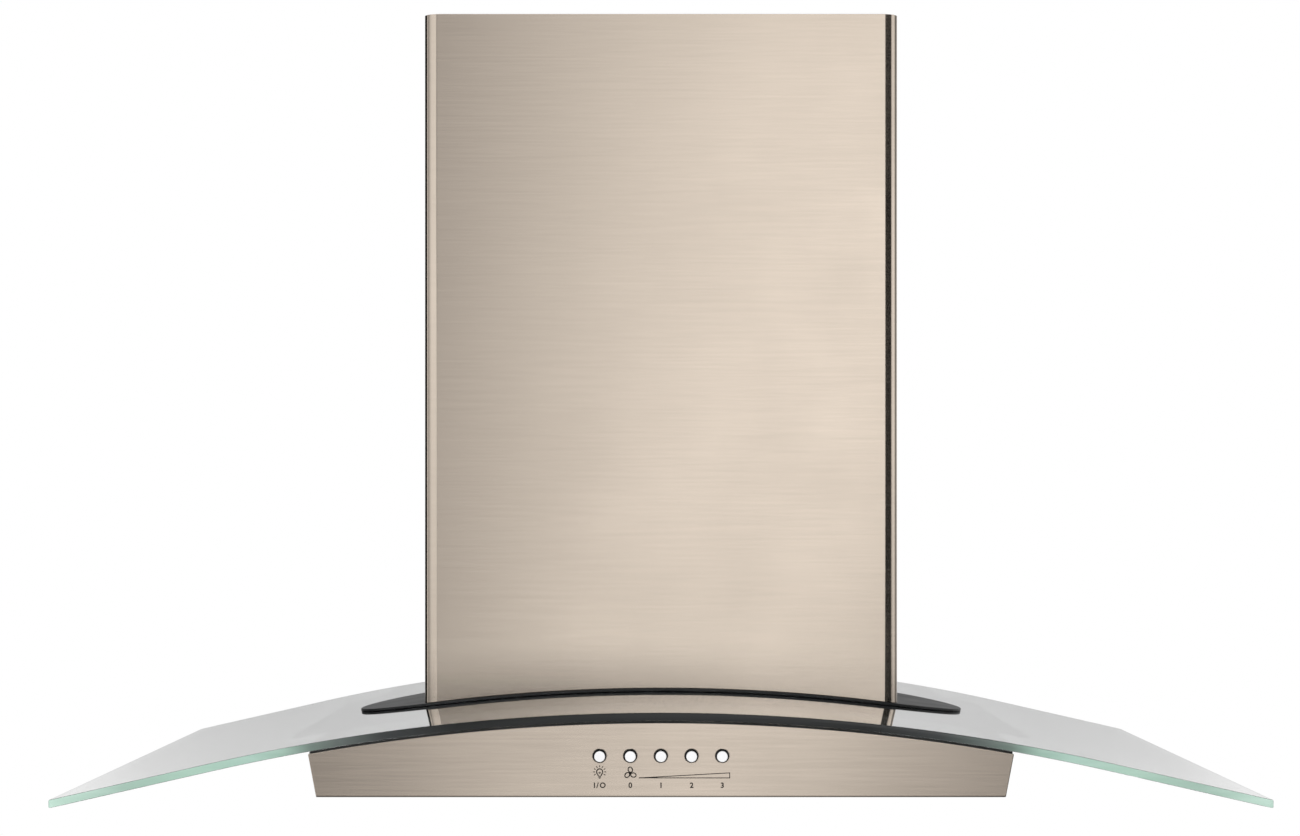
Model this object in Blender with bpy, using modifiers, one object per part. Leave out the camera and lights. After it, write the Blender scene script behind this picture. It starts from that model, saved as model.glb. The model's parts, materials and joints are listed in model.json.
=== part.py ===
"""Island range hood: curved glass canopy, steel body below it and telescoping chimney above it.

Metres, +Z up, +X to the right and +Y away from the user. The origin is the centre of the ceiling
plate's top face, so the whole hood hangs below it. The side with the push buttons faces -Y.
"""

from math import asin, cos, pi, radians, sin, tan

import bmesh
import bpy
from mathutils import Vector

GAP = 0.0003  # clearance between touching pieces

# Glass canopy: an arc that runs on as straight tangents, extruded from front to back
GLASS_TOP = -0.558
GLASS_WIDTH = 0.900
GLASS_DEPTH = 0.700
GLASS_THICKNESS = 0.006
GLASS_CORNER = 0.004
ARCH_RADIUS = 1.490
ARCH_ANGLE = asin(0.330 / ARCH_RADIUS)

# Heights of the layers, measured square to the glass from its top surface
COLLAR_LOW = GAP
COLLAR_THICKNESS = 0.0022
COLLAR_HIGH = COLLAR_LOW + COLLAR_THICKNESS
SEAL_HIGH = -GLASS_THICKNESS - GAP
SEAL_THICKNESS = 0.001
SEAL_LOW = SEAL_HIGH - SEAL_THICKNESS
DECK_HIGH = SEAL_LOW - GAP
SHEET = 0.0012
DECK_LOW = DECK_HIGH - SHEET

# Chimney: the outer cover rides with the hood, the inner one hangs from the ceiling
CHIMNEY_WIDTH = 0.390
CHIMNEY_DEPTH = 0.190
CHIMNEY_BEND = 0.011
COVER_SHEET = 0.001
COVER_PLAY = 0.0008
INNER_INSET = COVER_SHEET + COVER_PLAY
INNER_COVER_LENGTH = 0.480
COVER_TOP = -0.001

# Corner rails of the two nested frames
RAIL_LEG = 0.025
RAIL_SHEET = 0.002
UPPER_RAIL_X = 0.178
UPPER_RAIL_Y = 0.086
RAIL_PLAY = 0.0005
LOWER_RAIL_X = UPPER_RAIL_X - RAIL_SHEET - RAIL_PLAY
LOWER_RAIL_Y = UPPER_RAIL_Y - RAIL_SHEET - RAIL_PLAY
UPPER_RAIL_END = -0.430
LOWER_RAIL_TOP = -0.040

# Ceiling plate
CEILING_PLATE_X = 0.1905
CEILING_PLATE_Y = 0.0905
CEILING_PLATE_CORNER = 0.008
CEILING_PLATE_SHEET = 0.003
CEILING_DUCT_RADIUS = 0.0775
SLOT_X = 0.125
SLOT_Y = 0.062
SLOT_HALF_LENGTH = 0.012
SLOT_HALF_WIDTH = 0.004

# Hole through glass, collar and support plate for the frame and the air
THROAT_X = 0.179
THROAT_Y = 0.087
DECK_THROAT_X = 0.148
DECK_THROAT_Y = 0.079
COLLAR_HALF_DEPTH = 0.100
COLLAR_HALF_LENGTH = 0.256
SUPPORT_X = 0.289
SUPPORT_Y = 0.210

# Rubber seal between glass and body, at its front and its rear
SEAL_INSET = 0.001
SEAL_SIDE_WIDTH = 0.016
SEAL_END_WIDTH = 0.022

# Body below the glass
BODY_BOTTOM = -0.620
BODY_HALF_BOTTOM = 0.253
BODY_HALF_TOP = 0.259
BODY_HALF_DEPTH = GLASS_DEPTH / 2

# Push buttons
BUTTONS = ("lamp", "off", "low", "medium", "high")
BUTTON_PITCH = 0.0225
BUTTON_Z = -0.5897
BUTTON_HOLE = 0.005
BUTTON_RADIUS = 0.0043
BUTTON_STEM = 0.003
BUTTON_PROUD = 0.0012
CAP_DEPTH = 0.003
STEM_LENGTH = 0.017
MODULE_HALF_X = 0.062
MODULE_HALF_Z = 0.013
MODULE_DEPTH = 0.028
MODULE_MOUTH = 0.004

# Blower
WHEEL_X = 0.038
WHEEL_Z = -0.425
WHEEL_RADIUS = 0.075
WHEEL_INNER = 0.061
WHEEL_HALF = 0.052
BLADES = 22
CASING_HALF = 0.062
CASING_WALL = 0.002
INLET_RADIUS = 0.059
BLOWER_PLATE_Z = -0.330
OUTLET_RIGHT = 0.070
OUTLET_HALF_DEPTH = 0.060
MOTOR_RADIUS = 0.042
MOTOR_FRONT = -0.050
MOTOR_REAR = 0.002
BRACKET_RADIUS = 0.030
BRACKET_FRONT = -0.0655
ARM_REACH = 0.072
ARM_HALF = 0.008
ARM_SHEET = 0.002

# Duct collar with its two damper flaps
DUCT_RADIUS = 0.075
DUCT_WALL = 0.0015
DUCT_TOP = -0.272
DAMPER_X = 0.003
DAMPER_Z = -0.300
DAMPER_ROD = 0.0015
FLANGE_X = 0.084
FLANGE_Y = 0.0795

# Grease filters in the underside
FILTER_X = 0.121
FILTER_HALF_X = 0.11975
FILTER_HALF_Y = 0.160
FILTER_LOW = BODY_BOTTOM + 0.0005
FILTER_HIGH = FILTER_LOW + 0.009
FILTER_BAR = 0.012
FILTER_FRONT_BAR = 0.026
FILTER_HINGE_Z = -0.617
WINDOW_X = 0.243
WINDOW_FRONT = -0.1615
WINDOW_REAR = 0.163
CHANNEL_LIP = 0.005
CHANNEL_SKIN = 0.0015
TAB_SPACING = 0.080
LATCH_HALF = 0.018
TONGUE_HALF = 0.012
GRIP_HALF = 0.013

# Lamps in the underside
LAMP_X = 0.165
LAMP_Y = 0.255
LAMP_HOLE = 0.031
CUP_RADIUS = 0.033
CUP_FLANGE = 0.036
CUP_WALL = 0.002
CUP_HEIGHT = 0.028

# Junction box on the deck's underside, with the mains cable's gland in its front wall
BOX_HALF_X = 0.045
BOX_FRONT = 0.250
BOX_BACK = 0.310
BOX_HEIGHT = 0.034
BOX_WALL = 0.0025
GLAND_DROP = 0.016
GLAND_RADIUS = 0.009
GLAND_BORE = 0.0035
GLAND_LENGTH = 0.014


def clear_scene():
    for obj in list(bpy.data.objects):
        bpy.data.objects.remove(obj, do_unlink=True)


def new_collection(name):
    collection = bpy.data.collections.new(name)
    bpy.context.scene.collection.children.link(collection)
    return collection


def new_material(name, colour, roughness, metallic, transmission=0.0):
    material = bpy.data.materials.new(name)
    material.use_nodes = True
    shader = material.node_tree.nodes["Principled BSDF"]
    shader.inputs["Base Color"].default_value = (*colour, 1.0)
    shader.inputs["Roughness"].default_value = roughness
    shader.inputs["Metallic"].default_value = metallic
    shader.inputs["Transmission Weight"].default_value = transmission
    return material


clear_scene()
PARTS = new_collection("island_range_hood")
CUTTERS = new_collection("cutters")
MATERIALS = {
    "brushed_steel": new_material("brushed_steel", (0.62, 0.53, 0.43), 0.32, 1.0),
    "canopy_glass": new_material("canopy_glass", (0.80, 0.92, 0.88), 0.03, 0.0, 0.9),
    "black_steel": new_material("black_steel", (0.03, 0.033, 0.035), 0.35, 0.3),
    "galvanised_steel": new_material("galvanised_steel", (0.55, 0.57, 0.58), 0.45, 1.0),
    "black_rubber": new_material("black_rubber", (0.02, 0.02, 0.02), 0.8, 0.0),
    "grey_plastic": new_material("grey_plastic", (0.22, 0.23, 0.24), 0.5, 0.0),
    "white_plastic": new_material("white_plastic", (0.85, 0.85, 0.84), 0.35, 0.0),
    "aluminium": new_material("aluminium", (0.75, 0.76, 0.77), 0.35, 1.0),
    "motor_metal": new_material("motor_metal", (0.35, 0.36, 0.37), 0.4, 1.0),
    "lamp_glass": new_material("lamp_glass", (0.93, 0.93, 0.90), 0.4, 0.0, 0.5),
}


# Outlines: lists of points, anticlockwise


def circle(radius, centre=(0, 0), count=24):
    turns = [2 * pi * i / count for i in range(count)]
    return [(centre[0] + radius * cos(a), centre[1] + radius * sin(a)) for a in turns]


def rectangle(x0, x1, y0, y1, corner=0.0, steps=4):
    if corner == 0:
        return [(x0, y0), (x1, y0), (x1, y1), (x0, y1)]
    centres = (
        (x1 - corner, y1 - corner),
        (x0 + corner, y1 - corner),
        (x0 + corner, y0 + corner),
        (x1 - corner, y0 + corner),
    )
    points = []
    for quarter, (cx, cy) in enumerate(centres):
        for step in range(steps + 1):
            a = (quarter + step / steps) * pi / 2
            points.append((cx + corner * cos(a), cy + corner * sin(a)))
    return points


def centred(half_x, half_y, corner=0.0):
    return rectangle(-half_x, half_x, -half_y, half_y, corner)


def stadium(half_length, half_depth, steps=12):
    """A bar with half-round ends."""
    points = []
    for side, start in ((1, -pi / 2), (-1, pi / 2)):
        for step in range(steps + 1):
            a = start + pi * step / steps
            x = side * (half_length - half_depth) + half_depth * cos(a)
            points.append((x, half_depth * sin(a)))
    return points


def arch(offset, half_width, steps=30):
    """The canopy's curve from left to right, moved square to the glass by offset."""
    radius = ARCH_RADIUS + offset
    reach = min(asin(half_width / radius), ARCH_ANGLE)
    angles = [reach * (2 * i / steps - 1) for i in range(steps + 1)]
    points = [(radius * sin(a), radius * cos(a)) for a in angles]
    beyond = half_width - radius * sin(reach)
    if beyond > 1e-6:
        end = radius * cos(reach) - beyond * tan(reach)
        points = [(-half_width, end), *points, (half_width, end)]
    return [(x, z + GLASS_TOP - ARCH_RADIUS) for x, z in points]


def arch_height(x, offset):
    return arch(offset, x)[-1][1]


# Solids


def hide_as_cutter(obj):
    PARTS.objects.unlink(obj)
    CUTTERS.objects.link(obj)
    obj.hide_render = True
    obj.display_type = "WIRE"


def combine(target, other, operation):
    boolean = target.modifiers.new(f"{operation.lower()}_{other.name}", "BOOLEAN")
    boolean.operation = operation
    boolean.object = other
    hide_as_cutter(other)
    return target


def cut(target, other):
    return combine(target, other, "DIFFERENCE")


def join(target, other):
    return combine(target, other, "UNION")


def keep_inside(target, other):
    return combine(target, other, "INTERSECT")


def mesh_object(name, mesh):
    obj = bpy.data.objects.new(name, mesh)
    PARTS.objects.link(obj)
    return obj


def prism(name, outlines, low, high, plane="XY"):
    """A closed outline, with any holes after it, drawn in a plane and extruded from low to high."""
    curve = bpy.data.curves.new(name, "CURVE")
    curve.dimensions = "2D"
    curve.fill_mode = "BOTH"
    curve.extrude = (high - low) / 2
    for outline in outlines:
        spline = curve.splines.new("POLY")
        spline.points.add(len(outline) - 1)
        spline.use_cyclic_u = True
        for point, (u, v) in zip(spline.points, outline):
            point.co = (u, v, 0, 1)
    drawn = bpy.data.objects.new(name, curve)
    PARTS.objects.link(drawn)
    turn = {"XY": (0, 0, 0), "XZ": (pi / 2, 0, 0), "YZ": (pi / 2, 0, pi / 2)}
    across = {"XY": (0, 0, 1), "XZ": (0, 1, 0), "YZ": (1, 0, 0)}
    drawn.rotation_euler = turn[plane]
    drawn.location = Vector(across[plane]) * (low + high) / 2
    bpy.context.view_layer.update()
    graph = bpy.context.evaluated_depsgraph_get()
    mesh = bpy.data.meshes.new_from_object(drawn.evaluated_get(graph))
    mesh.transform(drawn.matrix_world)
    bpy.data.objects.remove(drawn)
    shape = bmesh.new()
    shape.from_mesh(mesh)
    bmesh.ops.remove_doubles(shape, verts=shape.verts, dist=1e-6)
    bmesh.ops.recalc_face_normals(shape, faces=shape.faces)
    shape.to_mesh(mesh)
    shape.free()
    mesh.name = name
    return mesh_object(name, mesh)


def box(name, x, y, z):
    return prism(name, [rectangle(*x, *y)], *z)


def rod(name, radius, centre, low, high, plane, count=24):
    return prism(name, [circle(radius, centre, count)], low, high, plane)


def turned(name, profile, location, steps=20):
    """A closed profile of (radius, height) points, down its outer side first, turned about Z."""
    mesh = bpy.data.meshes.new(name)
    edges = [(i, (i + 1) % len(profile)) for i in range(len(profile))]
    mesh.from_pydata([(r, 0, z) for r, z in profile], edges, [])
    obj = mesh_object(name, mesh)
    obj.location = location
    screw = obj.modifiers.new("turn", "SCREW")
    screw.steps = steps
    screw.render_steps = steps
    screw.use_merge_vertices = True
    screw.merge_threshold = 1e-5
    return obj


def curved_sheet(name, low, high, plan):
    """A sheet that follows the canopy's curve between two layer heights, trimmed to a plan outline."""
    half_width = max(x for x, _ in plan[0]) + 0.004
    outline = arch(low, half_width) + arch(high, half_width)[::-1]
    strip = prism(name, [outline], -0.400, 0.400, "XZ")
    return keep_inside(strip, prism(f"{name}_plan", plan, GLASS_TOP - 0.2, GLASS_TOP + 0.1))


def above_arch(target, offset):
    """Cuts away what lies below the canopy's curve at this layer height."""
    half_width = 0.230
    floor = GLASS_TOP - 0.150
    outline = [(-half_width, floor), (half_width, floor), *arch(offset, half_width)[::-1]]
    return cut(target, prism(f"{target.name}_arch", [outline], -0.150, 0.150, "XZ"))


def finish(obj, slot, holder=None):
    """Gives a piece its material and hangs it on its body's empty."""
    obj.data.materials.clear()
    obj.data.materials.append(MATERIALS[slot])
    obj.data.shade_smooth()
    obj.data.set_sharp_from_angle(angle=radians(30))
    if holder is not None:
        obj.parent = holder
        obj.matrix_parent_inverse = holder.matrix_world.inverted()
    return obj


def pivot(name, location, parent=None):
    """An empty on a joint's axis, which its body's pieces hang on."""
    empty = bpy.data.objects.new(name, None)
    empty.empty_display_size = 0.02
    PARTS.objects.link(empty)
    empty.location = location
    bpy.context.view_layer.update()
    if parent is not None:
        empty.parent = parent
        empty.matrix_parent_inverse = parent.matrix_world.inverted()
        bpy.context.view_layer.update()
    return empty


# Chimney covers and frame


def half_cover(name, inset, side, low, high):
    """One U-shaped half of a chimney cover. side is -1 at the front and 1 at the rear."""

    def corner_arc(radius, x, y):
        steps = 6
        angles = [pi / 2 * i / steps for i in range(steps + 1)]
        return [(x + radius * cos(a), y + radius * sin(a)) for a in angles]

    half_x = CHIMNEY_WIDTH / 2 - inset
    half_y = CHIMNEY_DEPTH / 2 - inset
    bend_x = half_x - CHIMNEY_BEND
    bend_y = half_y - CHIMNEY_BEND
    seam = GAP / 2
    outer = corner_arc(CHIMNEY_BEND, bend_x, bend_y)
    inner = corner_arc(CHIMNEY_BEND - COVER_SHEET, bend_x, bend_y)
    right = [(half_x, seam), *outer]
    left = [(-x, y) for x, y in right[::-1]]
    inner_right = [(half_x - COVER_SHEET, seam), *inner]
    inner_left = [(-x, y) for x, y in inner_right[::-1]]
    outline = right + left + inner_left[::-1] + inner_right[::-1]
    return prism(name, [[(x, side * y) for x, y in outline]], low, high)


def angle_rail(name, corner_x, corner_y, low, high):
    """An L-section upright whose outer corner stands at (corner_x, corner_y)."""
    sx = 1 if corner_x > 0 else -1
    sy = 1 if corner_y > 0 else -1
    steps = ((0, 0), (RAIL_LEG, 0), (RAIL_LEG, RAIL_SHEET), (RAIL_SHEET, RAIL_SHEET))
    steps += ((RAIL_SHEET, RAIL_LEG), (0, RAIL_LEG))
    outline = [(corner_x - sx * dx, corner_y - sy * dy) for dx, dy in steps]
    return prism(name, [outline], low, high)


def ceiling_frame():
    slots = [
        [(x + u, y + v) for u, v in stadium(SLOT_HALF_LENGTH, SLOT_HALF_WIDTH, 6)]
        for x in (-SLOT_X, SLOT_X)
        for y in (-SLOT_Y, SLOT_Y)
    ]
    plan = [centred(CEILING_PLATE_X, CEILING_PLATE_Y, CEILING_PLATE_CORNER)]
    plan += [circle(CEILING_DUCT_RADIUS, count=36), *slots]
    plate = prism("ceiling_plate", plan, -CEILING_PLATE_SHEET, 0)
    finish(plate, "galvanised_steel")
    top = -CEILING_PLATE_SHEET - GAP
    for sx, x_name in ((-1, "left"), (1, "right")):
        for sy, y_name in ((-1, "front"), (1, "rear")):
            name = f"upper_rail_{y_name}_{x_name}"
            rail = angle_rail(name, sx * UPPER_RAIL_X, sy * UPPER_RAIL_Y, UPPER_RAIL_END, top)
            finish(rail, "galvanised_steel")
    for side, name in ((-1, "front"), (1, "rear")):
        low = COVER_TOP - INNER_COVER_LENGTH
        cover = half_cover(f"upper_chimney_{name}", INNER_INSET, side, low, COVER_TOP)
        finish(cover, "brushed_steel")


def hood_frame(hood):
    for sx, x_name in ((-1, "left"), (1, "right")):
        for sy, y_name in ((-1, "front"), (1, "rear")):
            name = f"lower_rail_{y_name}_{x_name}"
            low = GLASS_TOP - 0.030
            rail = angle_rail(name, sx * LOWER_RAIL_X, sy * LOWER_RAIL_Y, low, LOWER_RAIL_TOP)
            finish(above_arch(rail, DECK_HIGH + GAP), "galvanised_steel", hood)
    for side, name in ((-1, "front"), (1, "rear")):
        cover = half_cover(f"lower_chimney_{name}", 0, side, GLASS_TOP - 0.040, COVER_TOP)
        finish(above_arch(cover, COLLAR_HIGH + GAP), "brushed_steel", hood)


# Glass and the sheets on either side of it


def canopy(hood):
    throat = centred(THROAT_X, THROAT_Y, 0.005)
    plan = [centred(GLASS_WIDTH / 2, GLASS_DEPTH / 2, GLASS_CORNER), throat]
    glass = curved_sheet("glass_canopy", -GLASS_THICKNESS, 0, plan)
    finish(glass, "canopy_glass", hood)

    plan = [stadium(COLLAR_HALF_LENGTH, COLLAR_HALF_DEPTH), throat]
    finish(curved_sheet("collar_plate", COLLAR_LOW, COLLAR_HIGH, plan), "black_steel", hood)

    plan = [centred(SUPPORT_X, SUPPORT_Y, 0.010), throat]
    finish(curved_sheet("support_plate", SEAL_LOW, SEAL_HIGH, plan), "black_steel", hood)

    for side, name in ((-1, "front"), (1, "rear")):
        outside = BODY_HALF_TOP - SEAL_INSET
        inside = outside - SEAL_SIDE_WIDTH
        near = SUPPORT_Y + GAP
        far = BODY_HALF_DEPTH - SEAL_INSET
        end = far - SEAL_END_WIDTH
        plan = [
            (-outside, near),
            (-outside, far),
            (outside, far),
            (outside, near),
            (inside, near),
            (inside, end),
            (-inside, end),
            (-inside, near),
        ]
        plan = [[(x, side * y) for x, y in plan]]
        seal = curved_sheet(f"glass_seal_{name}", SEAL_LOW, SEAL_HIGH, plan)
        finish(seal, "black_rubber", hood)


# Body


def button_places():
    middle = (len(BUTTONS) - 1) / 2
    return {name: (i - middle) * BUTTON_PITCH for i, name in enumerate(BUTTONS)}


def body(hood):
    rim = arch(DECK_HIGH, BODY_HALF_TOP)[::-1]
    outline = [(-BODY_HALF_BOTTOM, BODY_BOTTOM), (BODY_HALF_BOTTOM, BODY_BOTTOM), *rim]
    holes = [circle(BUTTON_HOLE, (x, BUTTON_Z), 20) for x in button_places().values()]
    front = -BODY_HALF_DEPTH
    fascia = prism("front_fascia", [outline, *holes], front, front + SHEET, "XZ")
    finish(fascia, "brushed_steel", hood)
    rear = prism("rear_fascia", [outline], -front - SHEET, -front, "XZ")
    finish(rear, "brushed_steel", hood)

    inner_depth = BODY_HALF_DEPTH - SHEET - GAP
    for sx, name in ((-1, "left"), (1, "right")):
        inner_top = BODY_HALF_TOP - SHEET
        outline = [
            (sx * BODY_HALF_BOTTOM, BODY_BOTTOM),
            (sx * BODY_HALF_TOP, arch_height(BODY_HALF_TOP, DECK_HIGH)),
            (sx * inner_top, arch_height(inner_top, DECK_HIGH)),
            (sx * (BODY_HALF_BOTTOM - SHEET), BODY_BOTTOM),
        ]
        panel = prism(f"side_panel_{name}", [outline], -inner_depth, inner_depth, "XZ")
        finish(panel, "brushed_steel", hood)

    plan = [centred(BODY_HALF_TOP - SHEET - 2 * GAP, inner_depth)]
    plan.append(centred(DECK_THROAT_X, DECK_THROAT_Y, 0.004))
    deck = curved_sheet("body_deck", DECK_LOW, DECK_HIGH, plan)
    finish(deck, "galvanised_steel", hood)

    window = rectangle(-WINDOW_X, WINDOW_X, WINDOW_FRONT, WINDOW_REAR, 0.003)
    lamp_holes = [circle(LAMP_HOLE, place, 28) for place in lamp_places().values()]
    plan = [centred(BODY_HALF_BOTTOM - SHEET - GAP, inner_depth), window, *lamp_holes]
    bottom = prism("bottom_panel", plan, BODY_BOTTOM, BODY_BOTTOM + SHEET)
    finish(bottom, "brushed_steel", hood)


def lamp_places():
    sides = ((-1, "left"), (1, "right"))
    rows = ((-1, "front"), (1, "rear"))
    return {
        f"{row}_{side}": (sx * LAMP_X, sy * LAMP_Y) for sx, side in sides for sy, row in rows
    }


def lamps(hood):
    ledge = BODY_BOTTOM + SHEET + GAP
    lens_top = BODY_BOTTOM + 0.003
    cup_top = BODY_BOTTOM + CUP_HEIGHT
    flange_top = ledge + 0.0015
    inner_top = cup_top - CUP_WALL
    inner = CUP_RADIUS - 0.005
    for name, (x, y) in lamp_places().items():
        lens = turned(
            f"lamp_lens_{name}",
            [
                (0, lens_top),
                (LAMP_HOLE - 0.0006, lens_top),
                (LAMP_HOLE - 0.0006, BODY_BOTTOM + 0.0006),
                (LAMP_HOLE - 0.0016, BODY_BOTTOM),
                (0, BODY_BOTTOM),
            ],
            (x, y, 0),
        )
        finish(lens, "lamp_glass", hood)
        cup = turned(
            f"lamp_cup_{name}",
            [
                (CUP_RADIUS, cup_top),
                (CUP_RADIUS, flange_top),
                (CUP_FLANGE, flange_top),
                (CUP_FLANGE, ledge),
                (LAMP_HOLE, ledge),
                (LAMP_HOLE, lens_top + GAP),
                (inner, lens_top + GAP),
                (inner, inner_top),
                (0, inner_top),
                (0, cup_top),
            ],
            (x, y, 0),
        )
        finish(cup, "aluminium", hood)


def switch_module(hood):
    """The block behind the front panel that guides the buttons' stems."""
    low, high = BUTTON_Z - MODULE_HALF_Z, BUTTON_Z + MODULE_HALF_Z
    front = -BODY_HALF_DEPTH + SHEET + GAP
    step = front + MODULE_MOUTH
    outline = rectangle(-MODULE_HALF_X, MODULE_HALF_X, low, high, 0.002)
    places = [(x, BUTTON_Z) for x in button_places().values()]
    wide = [circle(BUTTON_RADIUS + 0.0005, place, 16) for place in places]
    narrow = [circle(BUTTON_STEM + 0.0005, place, 12) for place in places]
    module = prism("switch_module", [outline, *narrow], step - 0.0001, front + MODULE_DEPTH, "XZ")
    mouth = prism("switch_module_mouth", [outline, *wide], front, step, "XZ")
    finish(join(module, mouth), "grey_plastic", hood)


def buttons(hood):
    front = -BODY_HALF_DEPTH - BUTTON_PROUD
    cap_back = -BODY_HALF_DEPTH + CAP_DEPTH
    for name, x in button_places().items():
        body_pivot = pivot(f"pivot_button_{name}", (x, front, BUTTON_Z), hood)
        place = (x, BUTTON_Z)
        cap = rod(f"button_{name}", BUTTON_RADIUS, place, front, cap_back, "XZ", 20)
        bevel = cap.modifiers.new("rim", "BEVEL")
        bevel.width = 0.0006
        bevel.segments = 1
        bevel.limit_method = "ANGLE"
        bevel.angle_limit = radians(60)
        stem_end = cap_back + STEM_LENGTH
        stem = rod(f"stem_{name}", BUTTON_STEM, place, cap_back - 0.001, stem_end, "XZ", 10)
        finish(join(cap, stem), "white_plastic", body_pivot)


def junction_box(hood):
    top = GLASS_TOP + DECK_LOW - SHEET
    lid_low = top - BOX_HEIGHT
    floor = lid_low + BOX_WALL
    across, along = (-BOX_HALF_X, BOX_HALF_X), (BOX_FRONT, BOX_BACK)
    shell = box("junction_box", across, along, (floor + GAP, top))
    hollow = box(
        "junction_box_hollow",
        (-BOX_HALF_X + BOX_WALL, BOX_HALF_X - BOX_WALL),
        (BOX_FRONT + BOX_WALL, BOX_BACK - BOX_WALL),
        (floor - 0.002, top - BOX_WALL),
    )
    centre = (0.0, top - GLAND_DROP)
    near, far = BOX_FRONT - 0.01, BOX_FRONT + 0.01
    entry = rod("junction_box_entry", 0.006, centre, near, far, "XZ", 16)
    finish(cut(cut(shell, hollow), entry), "grey_plastic", hood)
    finish(box("junction_box_lid", across, along, (lid_low, floor)), "grey_plastic", hood)

    ring = [circle(GLAND_RADIUS, centre, 6), circle(GLAND_BORE, centre, 16)]
    gland = prism("cable_gland", ring, BOX_FRONT - GLAND_LENGTH, BOX_FRONT - GAP, "XZ")
    finish(gland, "grey_plastic", hood)


# Blower


def scroll(wall, top):
    """The blower casing's outline, moved inwards by wall. Air leaves it upwards, on the left."""
    start, end = radians(75 + 1250 * wall), -pi
    first, last = 0.083 - wall, 0.118 - wall
    steps = 26
    points = [(OUTLET_RIGHT - wall, top)]
    for step in range(steps + 1):
        t = step / steps
        a = start + (end - start) * t
        r = first + (last - first) * t
        points.append((WHEEL_X + r * cos(a), WHEEL_Z + r * sin(a)))
    points.append((WHEEL_X - last, top))
    return points[::-1]


def blower(hood):
    top = BLOWER_PLATE_Z - GAP
    for side, name in ((-1, "front"), (1, "rear")):
        near, far = sorted((side * GAP / 2, side * CASING_HALF))
        shell = prism(f"blower_casing_{name}", [scroll(0, top)], near, far, "XZ")
        inner = side * (CASING_HALF - CASING_WALL)
        near, far = sorted((-side * 0.002, inner))
        hollow = prism(f"{shell.name}_hollow", [scroll(CASING_WALL, top + 0.01)], near, far, "XZ")
        near, far = sorted((inner - side * 0.002, side * (CASING_HALF + 0.01)))
        centre = (WHEEL_X, WHEEL_Z)
        inlet = rod(f"{shell.name}_inlet", INLET_RADIUS, centre, near, far, "XZ", 32)
        finish(cut(cut(shell, hollow), inlet), "grey_plastic", hood)

    outlet = rectangle(
        WHEEL_X - 0.118, OUTLET_RIGHT, -OUTLET_HALF_DEPTH, OUTLET_HALF_DEPTH, 0.003
    )
    reach_x = LOWER_RAIL_X - RAIL_SHEET - 0.0005
    reach_y = LOWER_RAIL_Y - RAIL_SHEET - 0.0005
    plate = prism(
        "blower_plate", [centred(reach_x, reach_y), outlet], BLOWER_PLATE_Z, BLOWER_PLATE_Z + 0.002
    )
    finish(plate, "galvanised_steel", hood)

    centre = (WHEEL_X, WHEEL_Z)
    motor = rod("blower_motor", MOTOR_RADIUS, centre, MOTOR_FRONT, MOTOR_REAR, "XZ", 28)
    bore = rod("blower_motor_bore", 0.0045, centre, -0.010, 0.004, "XZ", 16)
    finish(cut(motor, bore), "motor_metal", hood)
    near, far = BRACKET_FRONT, MOTOR_FRONT - GAP
    bracket = rod("motor_bracket", BRACKET_RADIUS, centre, near, far, "XZ", 32)
    for arm in range(3):
        a = radians(90 + 120 * arm)
        across = (-sin(a) * ARM_HALF, cos(a) * ARM_HALF)
        tip = (WHEEL_X + ARM_REACH * cos(a), WHEEL_Z + ARM_REACH * sin(a))
        outline = [
            (WHEEL_X - across[0], WHEEL_Z - across[1]),
            (tip[0] - across[0], tip[1] - across[1]),
            (tip[0] + across[0], tip[1] + across[1]),
            (WHEEL_X + across[0], WHEEL_Z + across[1]),
        ]
        high = -CASING_HALF - GAP
        join(bracket, prism(f"motor_arm_{arm}", [outline], high - ARM_SHEET, high, "XZ"))
    finish(bracket, "galvanised_steel", hood)


def fan_wheel(hood):
    """The double-inlet wheel: two end rings, a middle disc on the shaft, and a drum of blades."""
    centre = (WHEEL_X, WHEEL_Z)
    wheel_pivot = pivot("pivot_fan_wheel", (WHEEL_X, 0, WHEEL_Z), hood)
    wheel = rod("fan_wheel", WHEEL_RADIUS, centre, 0.005, 0.007, "XZ", 36)
    join(wheel, rod("fan_wheel_hub", 0.012, centre, 0.0035, 0.014, "XZ", 16))
    join(wheel, rod("fan_wheel_shaft", 0.004, centre, -0.008, 0.013, "XZ", 12))
    ring = [circle(WHEEL_RADIUS, centre, 36), circle(WHEEL_INNER, centre, 36)]
    join(wheel, prism("fan_wheel_ring_front", ring, -WHEEL_HALF, -WHEEL_HALF + 0.002, "XZ"))
    join(wheel, prism("fan_wheel_ring_rear", ring, WHEEL_HALF - 0.002, WHEEL_HALF, "XZ"))
    drum = bmesh.new()
    for blade in range(BLADES):
        piece = blade_prism(f"blade_{blade}", 2 * pi * blade / BLADES)
        drum.from_mesh(piece.data)
        bpy.data.objects.remove(piece)
    mesh = bpy.data.meshes.new("fan_wheel_blades")
    drum.to_mesh(mesh)
    drum.free()
    join(wheel, mesh_object("fan_wheel_blades", mesh))
    finish(wheel, "grey_plastic", wheel_pivot)


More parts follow.
